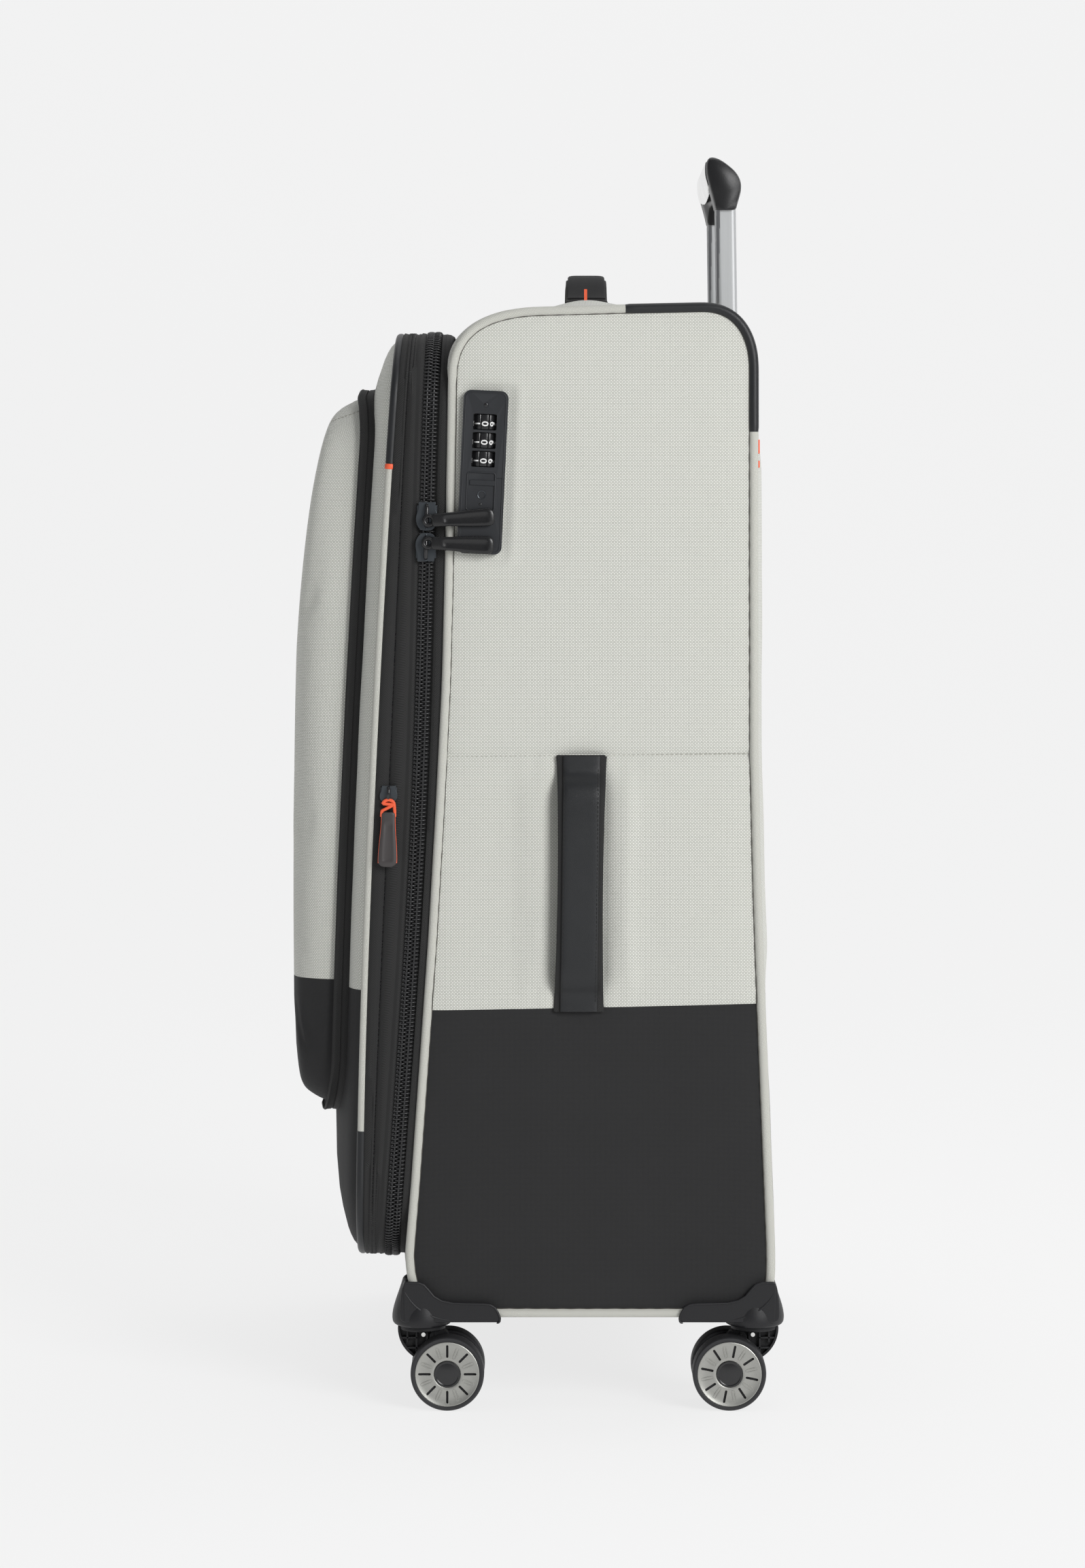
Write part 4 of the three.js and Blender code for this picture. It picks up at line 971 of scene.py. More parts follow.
def puffed(made, pressure, cap, frames, hold):  # blown up as cloth, the moves capped
    bpy.context.view_layer.objects.active = made
    made.select_set(True)
    before = np.empty(len(made.data.vertices) * 3)
    made.data.vertices.foreach_get("co", before)
    before = before.reshape(-1, 3)
    group = made.vertex_groups.new(name="held")
    group.add([int(k) for k in np.where(hold(before * 1000 - (0, midY, 0)))[0]], 1.0, "REPLACE")
    cloth = made.modifiers.new("cloth", "CLOTH")
    cloth.settings.quality = 5
    cloth.settings.mass = 0.3
    cloth.settings.tension_stiffness = cloth.settings.compression_stiffness = 25
    cloth.settings.bending_stiffness = 2.0
    cloth.settings.use_pressure = True
    cloth.settings.uniform_pressure_force = pressure
    cloth.settings.effector_weights.gravity = 0
    cloth.settings.vertex_group_mass = "held"
    scene = bpy.context.scene
    for step in range(1, frames + 1):
        scene.frame_set(step)
    after = np.array([v.co
                      for v in made.evaluated_get(bpy.context.evaluated_depsgraph_get()).data.vertices])
    made.modifiers.remove(cloth)
    move = after - before
    size = np.linalg.norm(move, axis=1)
    share = np.minimum(1, cap * 0.001 / np.maximum(size, 1e-9))
    made.data.vertices.foreach_set("co", (before + move * share[:, None]).ravel())
    scene.frame_set(1)
    made.select_set(False)
    return made


points, faces, flat = pocketStart()
stuffed = piece("pocketBody", points, faces, [canvas, charcoal, liningCloth], None, cloth=flat, sharp=180)
facing(stuffed, (-1, 0, 0))


def heldStill(p):  # the sewn edge and the flat middle stay put while the rest swells
    sewn = p[:, 0] > coverX(inOpening(p[:, 2])) - crownAt(27) - 9
    inset = pocket["flatFrom"]
    return sewn | ((np.abs(p[:, 1]) < pocket["half"] - inset) & (p[:, 2] > pocket["low"] + inset)
                   & (p[:, 2] < pocket["high"] - inset))


puffed(stuffed, pocket["pressure"], pocket["swell"], pocket["frames"], heldStill)
darkBelow(stuffed, pocket["dark"])
modifier(stuffed, "SOLIDIFY", thickness=0.003, offset=-1, material_offset=2, material_offset_rim=0)
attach(stuffed, "front_cover")
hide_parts("front_pocket")


def sewnOn(made, path, toward):  # lays a path of points on a piece, looking along a direction
    depsgraph = bpy.context.evaluated_depsgraph_get()
    found = []
    for p in toFrame(path):
        hit, at, *_ = made.ray_cast(Vector(p), Vector(toward), depsgraph=depsgraph)
        if hit:
            found.append(np.array(at) * 1000 - (0, midY, 0))
    return np.array(found)


for side, word in ((-1, "Lock"), (1, "Hinge")):
    seam = sewnOn(stuffed, [(x, side * 260, 700.0 + 0.35 * (x + 150)) for x in np.linspace(-150, -128, 14)],
                  (0, -side, 0))
    if len(seam) > 3:
        dashes(seam, 2.2, 0.8, 0.3, (0, side, 0), "pocketSeam" + word, thread, "front_cover", 0.2)
print("pocket made")


# shapes shared by the hard parts

def roundRect(a, b, corner, steps=6, at=(0.0, 0.0)):
    loop = []
    for sa, sb, start in ((1, 1, 0.0), (-1, 1, 90.0), (-1, -1, 180.0), (1, -1, 270.0)):
        for k in range(steps + 1):
            t = math.radians(start + 90 * k / steps)
            loop.append((at[0] + sa * (a - corner) + corner * math.cos(t),
                         at[1] + sb * (b - corner) + corner * math.sin(t)))
    return np.array(loop)


def softened(loop, rounds=2):  # cuts the corners off a closed outline
    loop = np.asarray(loop, float)
    for _ in range(rounds):
        after = np.roll(loop, -1, 0)
        loop = np.stack([0.75 * loop + 0.25 * after, 0.25 * loop + 0.75 * after], 1).reshape(-1, 2)
    return loop


def prism(shape, low, high, onto):
    return loft([[onto(a, b, d) for a, b in shape] for d in (low, high)])


def turnedAbout(profile, count, onto):  # (radius, height) pairs spun about an axis
    t = np.arange(count) * 2 * math.pi / count
    return loft([[onto(r * math.cos(k), r * math.sin(k), h) for k in t] for r, h in profile])


def carved(made, *shapes):
    bpy.context.view_layer.objects.active = made
    for points, faces in shapes:
        cutter = piece("cutter", points, faces, made.data.materials[0], None)
        modifier(made, "BOOLEAN", operation="DIFFERENCE", object=cutter, solver="EXACT")
        bpy.ops.object.modifier_apply(modifier=made.modifiers[-1].name)
        bpy.data.objects.remove(cutter)
    made.data.set_sharp_from_angle(angle=math.radians(35))
    return made


def fromNode(name, node, paint, body, bevel, finish):  # the CAD part itself, with its edges rounded
    source = bpy.data.objects[node]
    work = bmesh.new()
    work.from_mesh(source.data)
    work.transform(source.matrix_world)
    bmesh.ops.remove_doubles(work, verts=work.verts, dist=0.00002)
    bmesh.ops.dissolve_limit(work, angle_limit=math.radians(2), verts=work.verts, edges=work.edges)
    points = np.array([v.co for v in work.verts]) * 1000 - (0, midY, 0)
    faces = [[v.index for v in f.verts] for f in work.faces]
    work.free()
    made = piece(name, points, faces, paint, body, node, finish)
    rounded(made, bevel, 3)
    return made


# combination lock

def onLock(u, v, w):
    c, s = math.cos(lock["tilt"]), math.sin(lock["tilt"])
    return (lock["x"] + u * c + v * s, -(case["half"] + w), lock["z"] - u * s + v * c)


plate = piece("lockPlate", *prism(roundRect(lock["half"], lock["tall"], lock["corner"], 10), -1.2,
                                  lock["proud"], onLock), lockPlastic, "case", "lock_case", "lock_plastic")
cuts = [prism(roundRect(8.25, 5.7, 0.9, 4, (0, v)), -5, 8, onLock) for v in lock["dials"]]
cuts += [prism(roundRect(9.9, 13.4, 1.6, 5, (-0.8, -13.6)), lock["proud"] - 0.5, 8, onLock)]
cuts += [prism(roundRect(half, 0.22, 0.1, 2, (at, -3.9)), lock["proud"] - 0.5, 8, onLock) for half,
         at in ((2.6, -13.3), (3.0, 12.9))]
cuts += [turnedAbout([(2.0, lock["proud"] - 0.35), (2.0, 8)], 28, lambda a, b, h: onLock(a, 47.6 + b, h))]
carved(plate, *cuts)
rounded(plate, 0.45, 3, 40)
rim = [onLock(a, b, lock["proud"] - 0.05) for a, b in roundRect(lock["half"] - 1.5, lock["tall"] - 1.5,
                                                                lock["corner"] - 1.3, 10)]
piece("lockRim", *tube(rim, 0.45, 8, True, up=(0, 1, 0)), lockPlastic, "case", finish="lock_plastic")
frameLoop = [onLock(a, b, lock["proud"]) for a, b in roundRect(9.9, 13.4, 1.8, 8, (-0.8, -13.6))]
piece("lockKeyFrame", *tube(frameLoop, 0.5, 8, True, up=(0, 1, 0)), lockPlastic, "case", finish="lock_plastic")
box = loft([[onLock(a, b, w) for a, b in roundRect(12.9 - k, 53.9 - k, 2, 4)] for w,
            k in ((-1.4, 0), (-21.8, 0), (-21.7, 0.4), (-20.8, 1), (-1.4, 1))], True, False)
innermost = len(box[0]) // 5
box = (box[0], box[1] + [tuple(innermost + k for k in range(innermost))])
piece("lockWell", *box, plastic, "case", finish="lock_plastic")
dimple = joined(turnedAbout([(1.3, 3.6), (1.3, 4.15), (0.9, 4.3)], 20, lambda a, b, h: onLock(a, 47.6 + b, h)),
                turnedAbout([(0.85, 3.4), (0.85, 4.3), (0.6, 4.4)], 16, lambda a, b,
                            h: onLock(a - 0.6, -22.6 + b, h)))
piece("lockDots", *dimple, glossBlack, "case", finish="lock_plastic")


def digitMesh(text, size):
    curve = bpy.data.curves.new("digit", "FONT")
    curve.body, curve.size, curve.align_x, curve.resolution_u, curve.offset = text, size, "CENTER", 3, 0.11
    holder = bpy.data.objects.new("digit", curve)
    bpy.context.collection.objects.link(holder)
    bpy.context.view_layer.update()
    mesh = bpy.data.meshes.new_from_object(holder.evaluated_get(bpy.context.evaluated_depsgraph_get()))
    bpy.data.objects.remove(holder)
    work = bmesh.new()
    work.from_mesh(mesh)
    bmesh.ops.triangulate(work, faces=work.faces)
    bmesh.ops.subdivide_edges(work, edges=work.edges, cuts=1)
    got = np.array([v.co for v in work.verts]), [[v.index for v in f.verts] for f in work.faces]
    work.free()
    return got


digits = [digitMesh(str(k), 6.7) for k in range(10)]
for number, v in enumerate(lock["dials"], 1):
    turn = np.arange(180) * 2 * math.pi / 180
    profile = [(0.55, -5.3), (0.1, -5.0), (0.0, -4.5), (0.0, 4.5), (0.1, 5.0), (0.55, 5.3)]
    rings = []
    for less, h in profile:
        # grooved between digits
        r = lock["dialRadius"] - less - 0.65 * np.clip(1 - np.abs(np.cos(5 * turn)) / 0.3, 0, 1)
        rings.append([onLock(a * math.sin(t), v + h, a * math.cos(t) - lock["dialDeep"]) for a,
                      t in zip(r, turn)])
    body = "lock_dial_" + str(number)
    piece("lockDial" + str(number), *loft(rings), glossBlack, body, body, "lock_plastic")
    parts = []
    for k, (co, faces) in enumerate(digits):
        middle = co[:, 1].max() / 2
        at = -k * math.pi / 5 - (co[:, 1] - middle) / lock["dialRadius"]  # each digit lies on its side
        r = lock["dialRadius"] + 0.03
        parts.append(([onLock(r * math.sin(t), v - 1.3 + b, r * math.cos(t) - lock["dialDeep"])
                       for t, b in zip(at, 1.12 * co[:, 0])], faces))
    made = piece("lockDigits" + str(number), *joined(*parts), numeral, body, finish="lock_plastic")
    modifier(made, "SOLIDIFY", thickness=0.00012, offset=0)

bar = piece("lockSlide", *prism(roundRect(8.9, 1.9, 0.7, 4, (0, -7.5)), lock["proud"] - 1.6,
                                lock["proud"] + 0.35, onLock), lockPlastic, "lock_slide", "lock_slide",
            "lock_plastic")
rounded(bar, 0.35, 3)
piece("keyBarrel", *turnedAbout([(0.5, 2.6), (1.1, 3.3), (2.2, 3.4), (2.5, 4.2), (2.9, 4.4), (2.98, 3.9),
                                 (2.98, -1.5)], 36, lambda a, b, h: onLock(a, lock["keyAt"] + b, h)), gunmetal,
            "lock_key_barrel", "lock_key_barrel", "steel")
# a dark bar painted as the shade inside the key slot; the barrel itself has no hole
piece("keySlot", *prism(roundRect(1.3, 0.35, 0.2, 3, (0, lock["keyAt"])), 3.2, 3.55, onLock), glossBlack,
      "lock_key_barrel", finish="lock_plastic")
print("lock made")


# zip sliders and pulls

def frameAt(origin, across, along, out):
    origin, across, along, out = (np.asarray(v, float) for v in (origin, across, along, out))
    along = along / np.linalg.norm(along)
    return lambda a, b, w: origin + a * across + b * along + w * out


def slider(name, node, onto, width, length, top, paint=gunmetal):
    half, reach = width / 2, length / 2
    shape = softened([(half * k, reach * b) for k, b in ((-0.82, 1), (-0.6, 0.96), (0.6, 0.96), (0.82, 1),
                                                         (0.78, 0.6), (0.84, 0.35), (1, 0.05), (1, -0.4),
                                                         (0.8, -0.75), (0.45, -1),
                                                         (-0.45, -1), (-0.8, -0.75), (-1, -0.4), (-1, 0.05),
                                                         (-0.84, 0.35), (-0.78, 0.6))])
    lid = prism(shape, top - 1.5, top, onto)
    keel = prism(shape * (0.8, 0.98), -1.9, -0.8, onto)
    cheeks = [prism(roundRect(0.7, reach * 0.55, 0.4, 3, (s * (half - 1.1), reach * 0.2)), -0.9, top - 1.4,
                    onto) for s in (-1, 1)]
    made = piece(name, *joined(lid, keel, *cheeks), paint, node, node, "black_plastic")
    rounded(made, 0.4, 3)
    t = np.linspace(0, math.pi, 22)
    arch = [onto(0, reach * (0.72 * math.cos(k) + 0.02), top - 0.5 + 3.6 * math.sin(k) ** 0.5) for k in t]
    piece(name + "Bail", *tube(arch, 0.1 * width, 12, up=onto(1, 0, 0) - onto(0, 0, 0)), glossBlack, node,
          finish="black_plastic")
    rib = [onto(0, reach * k, top + 0.1) for k in np.linspace(0.9, -0.9, 12)]
    piece(name + "Ridge", *tube(rib, 0.55, 8, up=onto(0, 0, 1) - onto(0, 0, 0)), paint, node,
          finish="black_plastic")


def leafPull(name, node, onto, length, narrow, broad, thick, paint, groove=0.8, slotEnd=0.92):
    # a moulded pull that runs along +b from its eye and broadens towards its tip
    stations = np.r_[np.linspace(0, 3, 5), np.linspace(4, length - 4, 34),
                     length - 4 + 4 * np.sin(np.linspace(0.15, math.pi / 2, 9))]
    t = np.arange(44) * 2 * math.pi / 44
    rings = []
    for b in stations:
        share = b / length
        half = 0.5 * (narrow + (broad - narrow) * smoothStep(share, 0.1, 0.88))
        endRound = math.sqrt(max(0.03, 1 - max(0, (b - (length - 4.2)) / 4.2) ** 2)) * math.sqrt(max(0.25,
                1 - max(0, (1.5 - b) / 1.8) ** 2))
        half *= 0.35 + 0.65 * endRound if b > length - 4.2 else endRound ** 0.5
        deep = thick / 2 * (0.82 + 0.18 * smoothStep(share, 0.0, 0.4)) * (0.5 + 0.5 * endRound)
        a = half * np.sign(np.cos(t)) * np.abs(np.cos(t)) ** 0.62
        w = deep * np.sign(np.sin(t)) * np.abs(np.sin(t)) ** 0.62
        inGroove = smoothStep(share, 0.16, 0.24) * (1 - smoothStep(share, slotEnd - 0.05,
                slotEnd)) * np.exp(-(a / (0.5 * half)) ** 6)
        w = np.where(np.sin(t) > 0.1, w - groove * inGroove, w)
        rings.append([onto(p, b, thick / 2 + q) for p, q in zip(a, w)])
    return piece(name, *loft(rings), paint, node, node, "pull_rubber", sharp=50)


for word, z, way in (("Upper", 631.5, 1), ("Lower", 609.5, -1)):
    x = float(zipX(z))
    node = "main_slider_" + word.lower()
    lean = (float(zipX(z + 10)) - float(zipX(z - 10))) / 20
    onto = frameAt((x, -235.3, z), (way, 0, 0), (way * lean, 0, way), (0, -1, 0))
    slider("mainSlider" + word, node, onto, 15.0, 20.5, 3.6)
    pullNode = "main_pull_" + word.lower()
    turn = -0.06 if way > 0 else 0.04
    onto = frameAt((x + 4.2, -242.6, z - way * 3), (math.sin(turn), 0, math.cos(turn)),
                   (math.cos(turn), 0, -math.sin(turn)), (0, -1, 0))
    leafPull("mainPull" + word, pullNode, onto, 43.6, 9.4, 12.6, 4.6, pullRubber)
    ring = [onto(3.3 * math.sin(k), -2.6 + 3.3 * math.cos(k), 1.0)
            for k in np.linspace(0, 2 * math.pi, 36, endpoint=False)]
    piece("mainPullEye" + word, *tube(ring, 1.5, 12, True, up=(0, 1, 0)), pullRubber, pullNode,
          finish="pull_rubber")

lo, hi = [(np.array(v) * 1000 - (0, midY, 0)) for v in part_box("expander_slider")]
x, z = (lo[0] + hi[0]) / 2, 435.0
onto = frameAt((x, -235.4, z), (1, 0, 0), (0.041, 0, 1), (0, -1, 0))
slider("expanderSlider", "expander_slider", onto, 12.4, 12.5, 2.6)
hang = frameAt((x, -239.2, 430.4), (1, 0, 0), (-0.02, 0, -1), (0, -1, 0))
loop = [hang(4.1 * math.cos(k) if abs(math.cos(k)) < 1 else 4.1, -3.3 * math.sin(k) + 2.5, 1.5)
        for k in np.linspace(0, math.pi, 18)]
loop = [hang(4.6, 11.0, 1.2), hang(4.5, 7.0, 1.4)] + loop + [hang(-4.5, 7.0, 1.4), hang(-4.6, 11.0, 1.2)]
piece("expanderLoop", *tube(resampled(loop, 40), 1.15, 10, up=(0, 1, 0)), orange, "expander_pull",
      finish="pull_rubber")
hangLow = frameAt((x, -239.2, 422.4), (1, 0, 0), (-0.02, 0, -1), (0, -1, 0))
leafPull("expanderPull", "expander_pull", hangLow, 38.4, 9.6, 13.2, 3.8, pullGrey, 0.7)
for side in (-1, 1):
    edge = [hangLow(side * (4.5 + 1.75 * float(smoothStep(k, 0.1, 0.88))), 38.4 * k, 2.1)
            for k in np.linspace(0.02, 0.93, 16)]
    piece("expanderEdge" + ("Left" if side < 0 else "Right"), *tube(edge, 0.55, 8, up=(0, 1, 0)), orange,
          "expander_pull", finish="pull_rubber")

lo, hi = [(np.array(v) * 1000 - (0, midY, 0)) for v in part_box("pocket_slider")]
x, z = (lo[0] + hi[0]) / 2, 560.0
side = frameAt((x, 208.6, z), (-1, 0, 0), (0, 0, 1), (0, 1, 0))
slider("pocketSlider", "pocket_slider", side, 9.6, 11.5, 2.4)
hang = frameAt((x, 211.8, 554.0), (-1, 0, 0), (0, 0, -1), (0, 1, 0))
leafPull("pocketPull", "pocket_pull", hang, 38.0, 8.6, 11.2, 3.6, pullRubber)
print("sliders and pulls made")


# wheel housings, casters and wheels

places = [("front_lock", -83.0, -217.5, 1), ("front_hinge", -83.0, 217.5, 1), ("rear_lock", 152.6, -217.5, -1),
          ("rear_hinge", 152.6, 217.5, -1)]
caster = {"trail": 18.2, "wheel": 26.0, "twin": 15.5, "halfFork": 5.4, "slots": 8}
bellProfile = [(11.0, 60.4), (16.5, 58.4), (18.8, 57.9), (20.3, 58.6), (21.1, 60.2), (21.4, 62.4),
               (21.35, 64.6), (20.9, 67.6), (20.1, 71.0), (19.0, 74.6), (17.7, 78.4), (16.3, 82.4),
               (15.0, 86.2), (13.9, 90.0), (12.6, 91.6), (10.0, 92.0)]
guard = [(-0.5, 88), (0.2, 90.1), (1.6, 90.8), (10.4, 90.8), (14.2, 89.3), (17.4, 85.8), (21.2, 81.2),
         (26.6, 78.0), (34, 76.4), (44, 76.0), (56, 75.8), (61, 75.2), (64.4, 73.2),
         (66.6, 69.6), (68, 66), (67.6, 63.2), (65.5, 62.3), (0, 62.3)]
guardFold = [(0.6, 84), (2.3, 81.0), (5, 77.2), (8.4, 73.6), (12.6, 70.4), (17, 67.9), (22, 65.9), (28, 64.4),
             (34, 63.7)]


def wheelShapes():
    tread = [(21.6, 8.2), (23.0, 9.0), (24.3, 9.35), (25.2, 9.2), (25.75, 8.4), (25.95, 7.0), (26.0, 4.5),
             (26.0, 0), (26.0, -4.5), (25.95, -7.0), (25.75, -8.4), (25.2, -9.2),
             (24.3, -9.35), (23.0, -9.0), (21.6, -8.2)]
    t = np.arange(112) * 2 * math.pi / 112
    ring = np.array([[(r * math.cos(k), h, r * math.sin(k)) for k in t] for r, h in tread])
    tyrePart = ring.reshape(-1, 3), gridFaces(len(tread), 112, True, True)
    dish = [(9.4, 7.2), (9.5, 8.5), (10.2, 8.8), (11.6, 8.75), (14.5, 8.5), (17.4, 8.45), (19.8, 8.75),
            (21.4, 9.2), (22.2, 9.45), (22.6, 9.3), (22.65, 8.6), (22.0, 7.4)]
    ring = np.array([[(r * math.cos(k), h, r * math.sin(k)) for k in t] for r, h in dish])
    rimPart = ring.reshape(-1, 3), gridFaces(len(dish), 112, True, True)
    holder = piece("rimBlank", *rimPart, rimPaint, None)
    cutters = []
    for k in range(caster["slots"]):
        c, s = math.cos(2 * math.pi * k / caster["slots"]), math.sin(2 * math.pi * k / caster["slots"])
        shape = roundRect(4.5, 0.85, 0.84, 5, (16.1, 0))
        cutters.append(prism(shape, 6.0, 12, lambda a, b, h: (a * c - b * s, h, a * s + b * c)))
    carved(holder, joined(*cutters))
    co = np.array([v.co for v in holder.data.vertices]) * 1000 - (0, midY, 0)
    cut = co, [list(f.vertices) for f in holder.data.polygons]
    bpy.data.objects.remove(holder)
    floorDisc = turnedAbout([(9.0, 6.9), (21.6, 6.9), (21.6, 6.2), (9.0, 6.2)], 64, lambda a, b, h: (a, h, b))
    marks = []
    for k in range(caster["slots"]):  # raised outlines between the slots
        t0 = 2 * math.pi * (k + 0.5) / caster["slots"]
        c, s = math.cos(t0), math.sin(t0)
        path = [(a * c - b * s, 8.42 + 0.25 * (abs(a - 16) / 5) ** 2, a * s + b * c) for a,
                b in roundRect(4.3, 0.95, 0.94, 5, (15.9, 0))]
        marks.append(tube(path, 0.36, 6, True, up=(0, 1, 0)))
    capPart = turnedAbout([(9.3, 6.8), (9.3, 8.7), (9.0, 9.1), (8.5, 9.2), (7.9, 9.0), (7.6, 8.8), (7.2, 8.85),
                           (4.5, 9.2), (1.5, 9.35), (0.1, 9.36)], 64, lambda a, b, h: (a, h, b))
    webPart = turnedAbout([(4.0, -8.6), (10, -8.4), (17, -7.2), (22.4, -8.3), (22.4, -7.2), (17, -6.2),
                           (4, -7.2)], 64, lambda a, b, h: (a, h, b))
    hubPart = turnedAbout([(5.0, -9.2), (5.0, 7.2)], 28, lambda a, b, h: (a, h, b))
    return {"Tyre": (tyrePart, tyre), "Rim": (cut, rimPaint), "Marks": (joined(*marks), rimPaint),
            "Cap": (capPart, glossBlack), "Web": (joined(webPart, hubPart, floorDisc), plastic)}


shapes = wheelShapes()
for place, cx, cy, way in places:
    word = "".join(p.capitalize() for p in place.split("_"))
    side = 1 if cy > 0 else -1
    end = -95.5 if way > 0 else 167.0
    # housing: a flared bell under the corner and a guard over the side face
    bell = turnedAbout(bellProfile, 72, lambda a, b, h: (cx + a, cy + b * (1.192 if b * side > 0 else 1.1), h))
    guardShape = np.array([(end + way * d, z) for d, z in guard])
    onto = lambda a, b, w: (a, side * w, b)
    plateSolid = prism(guardShape, case["half"] - 0.6, case["half"] + 2.8, onto)
    u0, u1 = end + way * 2.5, end + way * 66.5
    soleShape = roundRect(abs(u1 - u0) / 2, 21.5, 3.5, 5, ((u0 + u1) / 2, 0))
    sole = prism(soleShape, 62.2, 64.9, lambda a, b, w: (a, side * (case["half"] + 1.4 - 21.5) + b, w))
    cheek = softened([(-2, 62.4), (-2, 74), (-0.6, 86), (1.2, 90.6), (6, 90.6), (6, 62.4)], 2)
    cheek = [(end + way * (d - 0.8), z) for d, z in cheek]
    corner = prism(cheek, case["half"] - 36, case["half"] + 2.4, onto)
    made = piece("housing" + word, *joined(bell, plateSolid, sole, corner), plastic, "case",
                 "wheel_housing_" + place, "black_plastic")
    rounded(made, 0.9, 4, 38)
    line = resampled([(end + way * d, z) for d, z in guard[1:-1]], 90)
    edge = [(a, side * (case["half"] + 2.7), b - 0.5) for a, b in line]
    piece("guardEdge" + word, *tube(edge, np.r_[0.3, np.full(88, 0.75), 0.3], 8, up=(0, 1, 0)), plastic,
          "case", finish="black_plastic")
    foldLine = resampled([(end + way * d, z) for d, z in guardFold], 40)
    edge = [(a, side * (case["half"] + 2.6), b) for a, b in foldLine]
    piece("guardFold" + word, *tube(edge, 0.9 * np.sin(np.linspace(0.25, math.pi - 0.2, 40)), 8, up=(0, 1, 0)),
          plastic, "case", finish="black_plastic")

    # fork: a ribbed half disc between the two wheels
    body = "caster_" + place
    onto = lambda a, b, w: (cx + way * a, cy + w, b)
    t = np.radians(np.linspace(178.5, 338, 60))
    arc = [(7.4 + r * math.cos(k), 55.5 + r * math.sin(k)) for r, ks in ((24.7, t), (22.9, t[::-1]))
           for k in ks]
    arch = prism(arc, -caster["halfFork"], caster["halfFork"], onto)
    web = prism([(7.4 + 23.2 * math.cos(k), 55.5 + 23.2 * math.sin(k)) for k in t], -1.1, 1.1, onto)
    ribs = []
    for a, b, halfA, halfB in ((-10.5, 50.5, 0.75, 5.6), (-4.0, 47.0, 0.75, 9.0), (3.4, 48.6, 0.8, 7.6),
                               (9.5, 47.0, 0.8, 9.0), (-9.5, 48.2, 6.2, 0.7), (-5.8, 41.0, 5.8, 0.7),
                               (-2.0, 55.6, 14.6, 0.9)):
        ribs.append(prism(roundRect(halfA, halfB, 0.3, 2, (a, b)), -4.9, 4.9, onto))
    hub = turnedAbout([(3.3, -5.4), (8.6, -5.4), (9.0, -5.0), (9.0, 5.0), (8.6, 5.4), (3.3, 5.4)], 36,
                      lambda a, b, h: onto(caster["trail"] + a, caster["wheel"] + b, h))
    arm = prism(softened([(4, 54), (20, 54), (26, 30), (20, 19), (13, 22), (6, 36)], 2), -4.2, 4.2, onto)
    top = turnedAbout([(10.5, 57.4), (16.2, 57.4), (16.4, 56.4), (16.4, 54.6), (15.6, 54.0), (3, 54.0)], 48,
                      lambda a, b, h: (cx + a, cy + b, h))
    fork = piece("fork" + word, *joined(arch, web, *ribs, hub, arm, top), plastic, body,
                 "caster_fork_" + place, "black_plastic")
    rounded(fork, 0.25, 2, 50)
    pin = turnedAbout([(1.5, -6.1), (1.75, -5.8), (1.75, 5.8), (1.5, 6.1), (0.4, 6.2)], 20, lambda a, b,
                      h: onto(0.9 + a, 50.6 + b, h))
    piece("forkPin" + word, *pin, bright, body, finish="steel")
    post = turnedAbout([(4.6, 57), (4.6, 80)], 24, lambda a, b, h: (cx + a, cy + b, h))
    piece("forkPost" + word, *post, gunmetal, body, finish="steel")

    for which, away in (("outer", side), ("inner", -side)):
        node = "wheel_" + place + "_" + which
        turn = {"front_lock": math.pi / 2, "rear_lock": math.pi / 2 - 0.2}.get(place, 0.4) + (0.0
                if which == "outer" else 0.3)
        c, s = math.cos(turn), math.sin(turn)
        for label, ((co, faces), paint) in shapes.items():
            at = np.stack([cx + way * caster["trail"] + co[:, 0] * c - co[:, 2] * s,
                           cy + away * (caster["twin"] + co[:, 1]),
                           caster["wheel"] + co[:, 0] * s + co[:, 2] * c], -1)
            made = piece("wheel" + label + word + which.capitalize(), at, faces, paint, node, node
                         if label == "Tyre" else (), "wheel", sharp=30)
            if label == "Rim":
                rounded(made, 0.18, 2, 45)
print("casters made")


# telescopic handle

trolley = {"x": 139.4, "z": 786.0, "lean": -0.0137, "span": 150.0, "base": 73.3}


def onTrolley(a, b, h):
    c, s = math.cos(trolley["lean"]), math.sin(trolley["lean"])
    return (trolley["x"] + a * c + h * s, b, trolley["z"] - a * s + h * c)


tubeFace = brushedPaint("tubeFace", (0.30, 0.305, 0.315, 1), 0.4)
for side, word in ((-1, "lock"), (1, "hinge")):
    at = side * trolley["span"] / 2
    section = roundRect(7.65, 12.0, 3.6, 8)
    dense = resampled(section, 140, True)
    grooved = np.array([(a - math.copysign(0.9 * math.exp(-(b / 4.2) ** 8), a) if abs(a) > 7 else a, b) for a,
                        b in dense])
    heights = np.r_[np.linspace(74, -60, 30), np.linspace(-80, -540, 20)]
    rings = [[onTrolley(a, at + b, h) for a, b in grooved] for h in heights]
    points, faces = loft(rings)
    fromFront = points[:, 0] - onTrolley(-7.6, 0, 0)[0] + (points[:,
            2] - trolley["z"]) * math.sin(trolley["lean"])
    slots = [1 if len(f) == 4 and all(abs(fromFront[k]) < 1.4 for k in f[:2]) else 0 for f in faces]
    piece("tubeInner" + word.capitalize(), points, faces, [anodised, tubeFace], "pull_handle",
          "handle_tube_inner_" + word, "aluminium", slots)
    collar = loft([[onTrolley(a * k, at + b * j, h) for a, b in roundRect(7.65, 12.0, 3.6, 8)] for k, j, h in
                   ((1.04, 1.03, -47.0), (1.05, 1.035, -41.2), (1.22, 1.14, -40.6), (1.42, 1.27, -41.4),
                    (1.44, 1.28, -43.6))], True, False)
    made = piece("tubeCollar" + word.capitalize(), *collar, plastic, "case", finish="black_plastic")
    modifier(made, "SOLIDIFY", thickness=0.0006, offset=-1)

